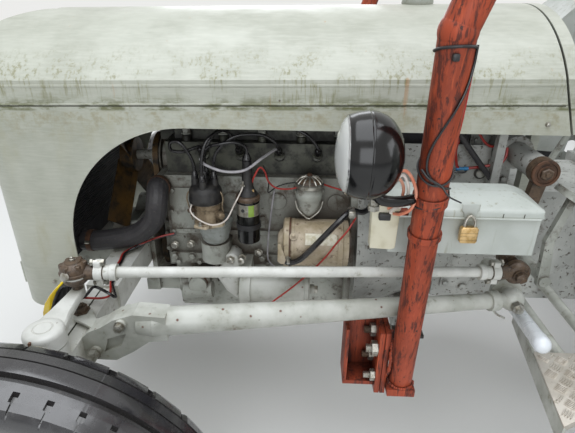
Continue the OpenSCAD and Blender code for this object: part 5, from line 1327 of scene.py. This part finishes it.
class TRACTOR_OT_footplate_pattern(bpy.types.Operator):
    """Five-bar aluminium footplates on their bearers, each with a round-capped tube over its front edge"""

    bl_idname = "tractor.footplate_pattern"
    bl_label = "Footplate pattern"

    def execute(self, context):
        tree, source, output = new_tree("chequer_bars", {"Bar Length": (0.024, 0.005, 0.05),
            "Bar Height": (0.0024, 0.0003, 0.005)})
        bar = add(tree, "GeometryNodeMeshUVSphere", {}, {"Segments": 8, "Rings": 4, "Radius": 1.0})
        long, tall = source.outputs["Bar Length"], source.outputs["Bar Height"]
        scale = combined(tree, calculated(tree, "MULTIPLY", long, 0.5), calculated(tree, "MULTIPLY", long, 0.065),
            tall)
        sized = add(tree, "GeometryNodeTransform", {}, {"Geometry": bar.outputs[0], "Scale": scale})
        place_on_points(tree, source.outputs[0], sized.outputs[0], finish("chequer_aluminium"), output)
        pitch = mm(sizes().chequer_pitch)
        # Groups of five bars that lean left and right by turns, on the right plate and mirrored on the left
        plate, top, bar_gap, margin = [(937, 414), (905, 600), (1120, 500), (1120, 414)], 483, 4.4, 9
        rows = []
        for i in range(8):
            for j in range(7):
                for k, turn in ((0, 45), (1, -45)):
                    a = math.radians(turn)
                    for n in range(-2, 3):
                        x = 905 + (i + k / 2) * pitch - n * bar_gap * math.sin(a)
                        y = 400 + (j + k / 2) * pitch + n * bar_gap * math.cos(a)
                        if inside((x, y), plate, margin):
                            rows += [((x, s * y, top), UP, (math.cos(a), s * math.sin(a), 0), (1, 1, 1))
                                for s in (-1, 1)]
        grown("chequer_bars", rows, tree, {}, "chassis", "chequer_aluminium", smooth=True)
        rest = Shape()
        rest.prism("chequer_aluminium", [(x, -y) for x, y in plate], "z", top - 5, top, 1.2)
        rest.prism("chequer_aluminium", [(905, -600), (1120, -500), (1120, -496), (907, -595)], "z", 468, 482, 1)
        rest.prism("grey_enamel_bar", [(962, -262), (905, -600), (911, -600), (968, -262)], "z", 440, 478, 1)
        for x, y in ((1000, -480), (1090, -440)):
            rest.tube("grey_enamel_bar", [(x, y, 466), (x, -128, 466)], 12, 20, 1)
        cap = [(0.4, 14), (2, 16), (205, 16), (206, 15.2), (207.5, 15.2), (208.5, 17), (236, 17), (243, 15.4),
            (249, 10), (251, 0)]
        rest.turned("tube_enamel", cap, (968, -250, 473), (-58, -230, 79), 32)
        rest.mirrored()
        rest.piece("tread_plates", slot="plate_aluminium", replaces=["footplates"])
        return {"FINISHED"}


def inside(point, outline, margin):
    """True where a point lies in a convex or plain outline and at least a margin from its edges."""
    x, y = point
    within = False
    for (x0, y0), (x1, y1) in zip(outline, outline[1:] + outline[:1]):
        if (y0 > y) != (y1 > y) and x < (x1 - x0) * (y - y0) / (y1 - y0) + x0:
            within = not within
        length = math.hypot(x1 - x0, y1 - y0)
        t = max(0, min(1, ((x - x0) * (x1 - x0) + (y - y0) * (y1 - y0)) / length**2))
        if math.hypot(x - x0 - t * (x1 - x0), y - y0 - t * (y1 - y0)) < margin:
            return False
    return within


class TRACTOR_OT_engine_details(bpy.types.Operator):
    """Starter with its label, oil filler, side covers, pumps, filter bolt, battery cover and hose clips"""

    bl_idname = "tractor.engine_details"
    bl_label = "Engine details"

    def execute(self, context):
        part, starter_at, cap_at, stud_at = Shape(), (390, -206, 615), (462, -178, 748), (856, -158.6, 784)
        # Starter: barrel with end cover and band, its lead's terminal, nose and blank label
        drum = [(0, 20), (5, 29), (12, 34), (13, 50), (14, 56), (17, 59), (31, 59), (32.5, 57.4), (34, 57.4),
            (34, 58.4), (39, 58.4), (39, 57), (140, 57), (141, 58.6), (152, 58.6), (154, 55), (166, 55)]
        part.turned("aged_lacquer", drum, starter_at, AFT, 56)
        part.turned("greasy_iron", [(160, 46), (171.5, 46)], (390, -203, 615), AFT, 40)
        part.ring("scaled_iron", (27.5, 31.5), (58.6, 59.8), starter_at, AFT, 56)
        part.strip("paper_label", (-206, 615), (56.8, 57.5), (131, 158), "x", 455, 527)
        for degrees in (128, 188):
            u, v = math.cos(math.radians(degrees)), math.sin(math.radians(degrees))
            place = (544 - degrees / 8, -206 + 57 * u, 615 + 57 * v)
            part.turned("aged_lacquer", [(-1, 6.6), (1.4, 6.6), (2, 5.6)], place, (0, u, v), 20)
        stud = [(0, 9), (6, 9), (7, 6), (11, 6), (11, 4), (24, 4), (25, 0)]
        part.turned("aged_lacquer", stud, (428, -249, 651), (0, -0.75, 0.66), 18)
        part.hexagon("zinc_steel", [(0, 8), (5, 8), (5, 4), (16, 4)], (416, -262, 603), (0.1, -0.9, -0.4))
        part.prism("aged_lacquer", [(392, 596), (400, 588), (410, 590), (412, 602), (400, 640), (393, 640)], "y",
            -268, -262, 1.5)
        part.block("painted_iron_casting", (430, 540), (-170, -143.2), (590, 640), 4)
        part.piece("starter_assembly", slot="brown_paint", replaces=["starter_motor"])
        part = Shape()
        # Filler: neck, flange with three ears, bowl, spoked cap and its wire bail
        part.turned("painted_iron_casting", [(-147, 17), (-178, 17)], (462, 0, 706), RIGHT, 28)
        ears = [(432, 722), (492, 722), (462, 672)]
        flange = []
        for k, (x, z) in enumerate(ears):
            for turn in (-60, -30, 0, 30, 60):
                a = math.radians((150, 30, 270)[k] - turn)
                flange.append((x + 8 * math.cos(a), z + 8 * math.sin(a)))
        part.prism("painted_iron_casting", flange, "y", -147, -139, 2)
        for x, z in ears:
            part.hexagon("zinc_steel", [(0, 5.4), (4, 5.4)], (x, -147, z), LEFT)
        bowl = [(0, 14), (3, 19), (10, 25), (20, 27.4), (42, 28.4), (46, 30), (50, 32.4), (60, 32.4), (63, 30),
            (66, 28.6), (74, 28)]
        part.turned("painted_iron_casting", bowl, (462, -178, 674), UP, 44)
        part.turned("zinc_steel", [(0, 31), (2, 33.6), (9, 33.9), (10.6, 32), (12, 29)], cap_at, UP, 44)
        part.turned("greasy_iron", [(11, 29), (13, 28.5), (19, 24), (24, 16), (26, 8)], cap_at)
        for k in range(12):
            a = 2 * math.pi * k / 12
            u, v = math.cos(a), math.sin(a)
            spoke = [(462 + r * u, -178 + r * v, z) for r, z in ((7, 774.5), (20, 770), (30.5, 759.5))]
            part.tube("zinc_steel", spoke, 2.1, 8, 4)
        part.hexagon("scaled_iron", [(24, 7.4), (30, 7.4), (31.5, 5.6), (33, 5.6), (33.6, 0)], cap_at)
        part.tube("zinc_steel", [(430, -190, 716), (436, -202, 700), (450, -206, 686), (462, -206, 678),
            (474, -206, 686), (488, -202, 700), (494, -190, 716)], 1.8, 8, 6)
        part.piece("filler_assembly", slot="engine_paint", replaces=["oil_filler"])
        part = Shape()
        part.prism("painted_iron_casting", [(112, 596), (196, 596), (196, 700), (188, 722), (120, 722), (112, 712)],
            "y", -139, -135, 2)
        part.prism("painted_iron_casting", [(80, 520), (104, 520), (104, 700), (96, 724), (80, 724)], "y", -100, -84,
            4)
        # Governor and pump body low on the block
        part.lathe("scaled_iron", [(0, 30), (24, 30), (30, 24), (44, 22), (46, 0)], (180, -147, 470), LEFT, 28)
        part.lathe("painted_iron_casting", [(0, 20), (60, 19), (64, 22), (76, 22)], (140, -175, 442), (1, 0, 0.1), 24)
        part.prism("painted_iron_casting", [(225, 470), (300, 470), (312, 520), (292, 540), (236, 538), (222, 512)],
            "y", -176, -147, 6)
        # Lift pump's pale casting between block and filter, with its bolts
        pump = [(232, 504), (244, 484), (256, 462), (284, 437), (298, 440), (308, 498), (300, 530), (294, 560),
            (278, 574), (258, 570), (250, 552)]
        part.prism("white_enamel", pump, "y", -200, -150, 6)
        part.prism("white_enamel", [(246, 500), (262, 472), (284, 452), (292, 470), (292, 520), (270, 528)], "y",
            -210, -196, 5)
        for x, z, tall in ((271, 556, 8), (300, 562, 20), (336, 548, 8), (118, 566, 8), (160, 570, 10)):
            part.hexagon("zinc_steel", [(0, 12), (2, 12), (2, 9), (tall, 9), (tall + 1, 7.5)],
                (x, -200 if 260 < x < 310 else -147, z), (0, -1, 0.12))
        # Filter's tie bolt
        part.hexagon("zinc_steel", [(0, 10), (8, 10), (9, 8)], (482, -206, 480), AFT)
        # Battery cover's painted face and the capped stud on it
        part.block("flaking_iron_casting", (660, 873), (-158.6, -156.2), (742, 851), 1)
        part.ring("oily_iron", (0, 2), (8, 14), stud_at, LEFT, 24)
        part.turned("white_enamel", [(0, 9.5), (6, 9.5), (9, 7), (10, 0)], stud_at, LEFT, 20)
        part.piece("engine_fittings", slot="engine_paint")
        clips = Shape()
        for origin, axis in (((-90, -165, 582), AFT), ((95, -150, 728), RIGHT), ((92, 0, 880), UP),
                ((-80, 0, 1008), AFT)):
            r = 27.2 if origin[1] else 24.2
            clips.ring("scaled_iron", (-6, 6), (r - 1, r + 1), origin, axis, 36)
        clips.tube("zinc_steel", [(-96, -192, 590), (-84, -192, 590)], 4, 8, 1)
        clips.piece("hose_clips", slot="engine_paint")
        return {"FINISHED"}


class TRACTOR_OT_stub_axles(bpy.types.Operator):
    """Kingpin bosses with flat forged steering arms, clamp slots and grease nipples, and the stub axles"""

    bl_idname = "tractor.stub_axles"
    bl_label = "Stub axles"

    def execute(self, context):
        for side, s in SIDES:
            knuckle, kingpin = Shape(), (0, -KINGPIN_Y * s, 0)
            boss = [(586.8, 33), (588.5, 35), (612, 35), (617, 33.5), (620, 30), (621.5, 20), (621.5, 17.5),
                (620.6, 16.6), (620.6, 15.4), (622, 14.4), (623, 0)]
            knuckle.turned("white_enamel", boss, kingpin, UP, 44)
            arm = [(-30, -560), (-31, -540), (-20, -500), (-12, -450), (-10, -424), (-4, -415), (8, -415), (14, -424),
                (15, -450), (20, -500), (30, -536), (31, -560)]
            rings = []
            for z, inset in ((594, 3), (597, 0), (611, 0), (614, 3)):
                ring = []
                for x, y in arm:
                    # The arm rises towards its ball, and its edges are rounded
                    rise = (y + 560) / 146 * 12 * (0.5 if z < 600 else 0.35)
                    mid = 2 if y > -440 else 0
                    place = at(mid + (x - mid) * (1 - inset / 26), s * (y - (inset / 2 if y > -430 else 0)), z + rise)
                    ring.append(knuckle.bm.verts.new(place))
                rings.append(ring)
            knuckle._keep(knuckle._skin(rings), "white_enamel")
            knuckle.block("scaled_iron", (-7, -2.5), sorted((-592 * s, -580 * s)), (592, 618), 0.5)
            knuckle.hexagon("greasy_iron", [(0, 5), (10, 5), (10, 8.5), (17, 8.5), (18, 7)], (12, -584 * s, 603),
                (0.25, -0.97 * s, 0))
            knuckle.turned("greasy_iron", [(0, 11), (22.5, 10.4)], (2, -426 * s, 606), UP, 20)
            knuckle.turned("white_enamel", [(396, 29), (398, 30.6), (437, 30.6), (439.3, 29)], kingpin)
            knuckle.turned("white_enamel", [(319, 18), (330, 27), (345, 34.4), (362, 31), (376, 27), (398, 27)],
                kingpin)
            knuckle.turned("greasy_iron", [(0, 30), (30, 27.5), (44, 26.5), (44, 17.3), (150, 17.3), (180, 17)],
                (0, -KINGPIN_Y * s, 345), (0, -s, 0), 36)
            knuckle.turned("zinc_steel", [(0, 4.5), (5, 4.5), (6, 2.6), (10, 3), (12, 1.5)], (0, -522 * s, 420),
                (0, s, 0.2), 10)
            knuckle.piece(f"stub_axle_{side}", f"knuckle_{side}", "engine_paint", replaces=[f"knuckle_{side}"])
        return {"FINISHED"}


class TRACTOR_OT_steering_joints(bpy.types.Operator):
    """Rusty ball sockets with caps and grease nipples, link clamps and the nuts of the radius rods"""

    bl_idname = "tractor.steering_joints"
    bl_label = "Steering joints"

    def execute(self, context):
        front, rear = FRONT_BALL, REAR_BALL
        along = (rear - front).normalized()
        for side, s in SIDES:
            def there(p):
                return (p[0], p[1] * s, p[2])

            joint = Shape()
            dome = [(-25.5, 14), (-24, 17), (-18, 23), (-9, 26), (-6, 24), (-4, 24), (-2, 27.6), (2, 28.6), (4, 28.6),
                (5, 26), (14, 25.6), (19, 23), (22, 18.5), (24, 15.4), (26, 14.8), (27, 8)]
            joint.turned("greasy_iron", dome, there(front), UP, 36)
            for k in range(6):
                a = math.radians(60 * k + 20)
                joint.hexagon("greasy_iron", [(12, 6), (17, 6), (21.5, 5.4), (22.5, 4)], there(front
                    + Vector((20.5 * math.cos(a), 20.5 * math.sin(a), 0))))
            joint.turned("zinc_steel", [(26, 4.5), (30, 4.5), (31, 2.6), (34, 3), (36, 1.5)], there(front), UP, 10)
            joint.turned("zinc_steel", [(0, 9), (3, 10), (4, 7)], there(front + Vector((-6, -24, 4))),
                (-0.2, -0.9 * s, 0.3), 12)
            cap = [(-20.5, 12), (-19, 14), (-10, 24), (-4, 26.2), (6, 26.2), (8, 24), (13, 21), (15, 14.4),
                (20.4, 14.4), (21, 0)]
            joint.turned("greasy_iron", cap, there(rear), (0, -s, 0), 36)
            joint.hexagon("greasy_iron", [(20, 12), (29, 12), (30, 10)], there(rear), (0, -s, 0))
            for end, way in ((front, 1), (rear, -1)):
                for a, b, r in ((14, 58, 15.4), (40, 56, 17.5)):
                    joint.tube("white_enamel" if r > 17 else "greasy_iron", [there(end + along * way * a),
                        there(end + along * way * b)], r, 20, 1)
                ear = end + along * way * 48
                for z in (-26, 26):
                    joint.hexagon("zinc_steel", [(-14, 7), (-9, 7.4), (-9, 5), (9, 5), (9, 7.4), (13, 7)],
                        there(ear + Vector((0, 0, z * 0.86))), (along.x, along.y * s, along.z))
                    joint.block("white_enamel", sorted((ear.x - 7, ear.x + 7)),
                        sorted((s * (ear.y - 9), s * (ear.y + 9))), sorted((ear.z, ear.z + z)), 2)
            joint.piece(f"link_joints_{side}", f"drag_link_{side}", "engine_paint")
            # Ringed cap and nut on the drop arm's shaft
            arm, shaft = Shape(), there((928, -296, 835))
            arm.lathe("scaled_iron", [(0.3, 12), (0.3, 26), (2, 28), (5, 27), (5, 22), (2.5, 21), (2.5, 17), (5, 16),
                (5, 12)], shaft, (0, -s, 0), 40, closed=True)
            arm.hexagon("greasy_iron", [(0, 13), (10, 13), (12, 11), (12, 6), (15, 5)], shaft, (0, -s, 0))
            arm.piece(f"drop_arm_nut_{side}", f"drop_arm_{side}", "engine_paint")
        nuts = Shape()
        # Castellated nut on the strap over the beam
        nuts.prism("grey_enamel_bar", [(-14, -436), (-4, -458), (22, -470), (64, -494), (66, -470), (40, -452),
            (22, -424), (0, -418)], "z", 558.3, 566, 2)
        nuts.hexagon("greasy_iron", [(0, 18), (3, 18), (3, 14), (12, 14), (13, 12), (13, 7), (17, 6)], (2, -434, 566),
            (-0.05, 0, 1))
        nuts.lathe("zinc_steel", [(0, 13), (12, 13), (12, 7), (20, 7)], (911, -353, 553), LEFT, 6, smooth=False)
        # Seam between the beam's two channels as a strip of painted shadow, and its pressed lips
        nuts.block("shadow_gap", (-1.5, 1.5), (-330, -250), (558, 558.5), 0)
        nuts.block("shadow_gap", (-1.5, 1.5), (-516, -331), (552, 552.5), 0)
        for x in (-28, 28):
            nuts.tube("white_enamel", [(x, -516, 551), (x, -332, 551)], 2.2, 8, 1)
        nuts.tube("zinc_steel", [(868, -334, 545), (880, -336, 520), (900, -340, 510)], 2.5, 8, 4)
        nuts.mirrored()
        nuts.piece("axle_nuts", slot="engine_paint")
        return {"FINISHED"}


def ring_of(count, radius, centre, facing, across, start=0.0):
    """Bolts round a circle that faces a side of the tractor."""
    rows, (x, y, z) = [], centre
    for k in range(count):
        a = math.radians(start) + 2 * math.pi * k / count
        rows.append(((x + radius * math.cos(a), y, z + radius * math.sin(a)), facing, across))
    return rows


class TRACTOR_OT_fasteners(bpy.types.Operator):
    """Bolt heads and nuts on the engine, castings, rims, hoop brackets and links"""

    bl_idname = "tractor.fasteners"
    bl_label = "Fasteners"

    def execute(self, context):
        # Rows of (place, facing, millimetres across flats), in this order: block, sump flange, side cover, timing
        # cover, head, lift pump and the block's right side
        block, cover = -147.5, -139.5
        iron = [((x, block, 535), LEFT, 15) for x in (117, 162, 198, 260, 297, 345, 396, 447, 498, 545)]
        iron += [((x, block, 518), LEFT, 11) for x in (125, 180, 240, 300, 360, 420, 480, 540)]
        iron += [((x, cover, z), LEFT, 10) for x, z in ((118, 604), (190, 604), (190, 712), (124, 716), (118, 660))]
        iron += [((88, -100.5, z), LEFT, 11) for z in (532, 577, 612, 649, 690)]
        iron += [((x, -96, 848), UP, 17) for x in (160, 250, 345, 440, 530)]
        iron += [((x, -176.5, z), LEFT, 14) for x, z in ((240, 500), (292, 520), (286, 486))]
        iron += [((x, -block, 535), RIGHT, 15) for x in (117, 190, 260, 345, 420, 498, 545)]
        bolts("engine_bolts", iron, material="painted_iron_casting")
        # In this order: clutch housing, its rear flange, rear housing, outer and inner axle flanges, steering box,
        # bell housing and lift cover
        case = []
        for s in (-1, 1):
            out = (0, s, 0)
            case += [((x, s * 128.5, z), out, 17) for x in (880, 1010, 1190) for z in (455, 700)]
            case += [((1230, s * 144, z), (-1, 0, 0), 17) for z in (430, 520, 610, 700)]
            case += [((x, s * 185.5, z), out, 17) for x in (1540, 1640, 1900) for z in (450, 750)]
            case += ring_of(8, 112, (REAR_AXLE_X, s * 530.5, REAR_AXLE_Z), out, 15)
            case += ring_of(8, 136, (REAR_AXLE_X, s * 216.5, REAR_AXLE_Z), out, 15, 22)
            case += [((x, s * 90.5, z), out, 14) for x in (860, 942) for z in (748, 845)]
            flange = ((832, 466), (832, 676), (896, 676), (972, 536), (984, 500), (905, 500))
            case += [((x, s * 133.5, z), out, 13) for x, z in flange]
            case += [((x, s * 110, 872.5), UP, 15) for x in (1560, 1720, 1880)]
        bolts("casting_bolts", case, material="flaking_iron_casting")
        hoop = [((x, s * 190.3, z), (0, s, 0), 17) for s in (-1, 1) for x in (716, 754) for z in (350, 400)]
        bolts("hoop_bolts", hoop, washer=0.8)
        # Wheels: nuts, their circle, the axle's x and z, the nuts' seat, millimetres across flats, first one's angle
        wheels = {
            "rear": (8, 101.6, REAR_AXLE_X, REAR_AXLE_Z, 660 + 47, 26, 22.5),
            "front": (6, 72, 0, 345, 711 + 23, 21, 30),
        }
        for side, s in SIDES:
            for end, (count, radius, x, z, seat, across, start) in wheels.items():
                nuts = []
                for k in range(count):
                    a = math.radians(start + 360 / count * k)
                    nuts.append(((radius * math.cos(a) + x, -s * seat, z + radius * math.sin(a)), (0, -s, 0), across))
                bolts(f"{end}_wheel_nuts_{side}", nuts, f"{end}_wheel_{side}", "zinc_steel")
        plates = [((x, s * 506.5, z), (0, s, 0), across) for s in (-1, 1) for x, z,
            across in ((54, 524, 19), (112, 590, 15))]
        bolts("axle_bolts", plates)
        return {"FINISHED"}


class TRACTOR_OT_radiator_core(bpy.types.Operator):
    """Fins of the radiator's core, and its cap"""

    bl_idname = "tractor.radiator_core"
    bl_label = "Radiator core"

    def execute(self, context):
        tree, source, output = new_tree("fins", {"Fin Width": (0.39, 0.1, 0.6),
            "Fin Thickness": (0.0008, 0.0002, 0.003), "Fin Depth": (0.068, 0.02, 0.1)})
        size = combined(tree, *(source.outputs[f"Fin {way}"] for way in ("Depth", "Width", "Thickness")))
        fin = add(tree, "GeometryNodeMeshCube", {}, {"Size": size})
        place_on_points(tree, source.outputs[0], fin.outputs[0], finish("dusty_black"), output)
        pitch = mm(sizes().fin_pitch)
        core_x, bottom, height = -155, 612, 360
        rows = [((core_x, 0, bottom + k * pitch), UP, AFT, (1, 1, 1)) for k in range(int(height / pitch))]
        grown("radiator_fins", rows, tree, {}, "chassis", "dusty_black")
        cap = Shape()
        cap.turned("brass", [(1056, 27), (1060, 31), (1070, 31), (1074, 24), (1076, 0)], (-158, 0, 0), UP, 24)
        cap.piece("radiator_cap", slot="engine_paint")
        return {"FINISHED"}


class TRACTOR_PT_panel(bpy.types.Panel):
    bl_label = "Tractor"
    bl_space_type = "VIEW_3D"
    bl_region_type = "UI"
    bl_category = "Tractor"

    def draw(self, context):
        for group in (context.scene.tractor_sizes, context.scene.tractor_colours):
            for key in group.__annotations__:
                self.layout.prop(group, key)
        for made in OPERATORS:
            self.layout.operator(made.bl_idname)


OPERATORS = [
    TRACTOR_OT_stage, TRACTOR_OT_finishes, TRACTOR_OT_bonnet_trim, TRACTOR_OT_wiring, TRACTOR_OT_post_trim,
    TRACTOR_OT_headlamps, TRACTOR_OT_hoop_feet, TRACTOR_OT_marker_lamps, TRACTOR_OT_ignition, TRACTOR_OT_tool_box,
    TRACTOR_OT_front_tyres, TRACTOR_OT_footplate_pattern, TRACTOR_OT_engine_details, TRACTOR_OT_fasteners,
    TRACTOR_OT_radiator_core, TRACTOR_OT_stub_axles, TRACTOR_OT_steering_joints,
]
CLASSES = [TractorSizes, TractorColours, *OPERATORS, TRACTOR_PT_panel]


def register():
    for made in CLASSES:
        bpy.utils.register_class(made)
    bpy.types.Scene.tractor_sizes = bpy.props.PointerProperty(type=TractorSizes)
    bpy.types.Scene.tractor_colours = bpy.props.PointerProperty(type=TractorColours)


def unregister():
    del bpy.types.Scene.tractor_colours
    del bpy.types.Scene.tractor_sizes
    for made in reversed(CLASSES):
        bpy.utils.unregister_class(made)


def main():
    register()
    for made in OPERATORS:
        family, name = made.bl_idname.split(".")
        if getattr(getattr(bpy.ops, family), name)() != {"FINISHED"}:
            raise RuntimeError(f"{made.bl_label} didn't finish")


if __name__ == "__main__":
    main()
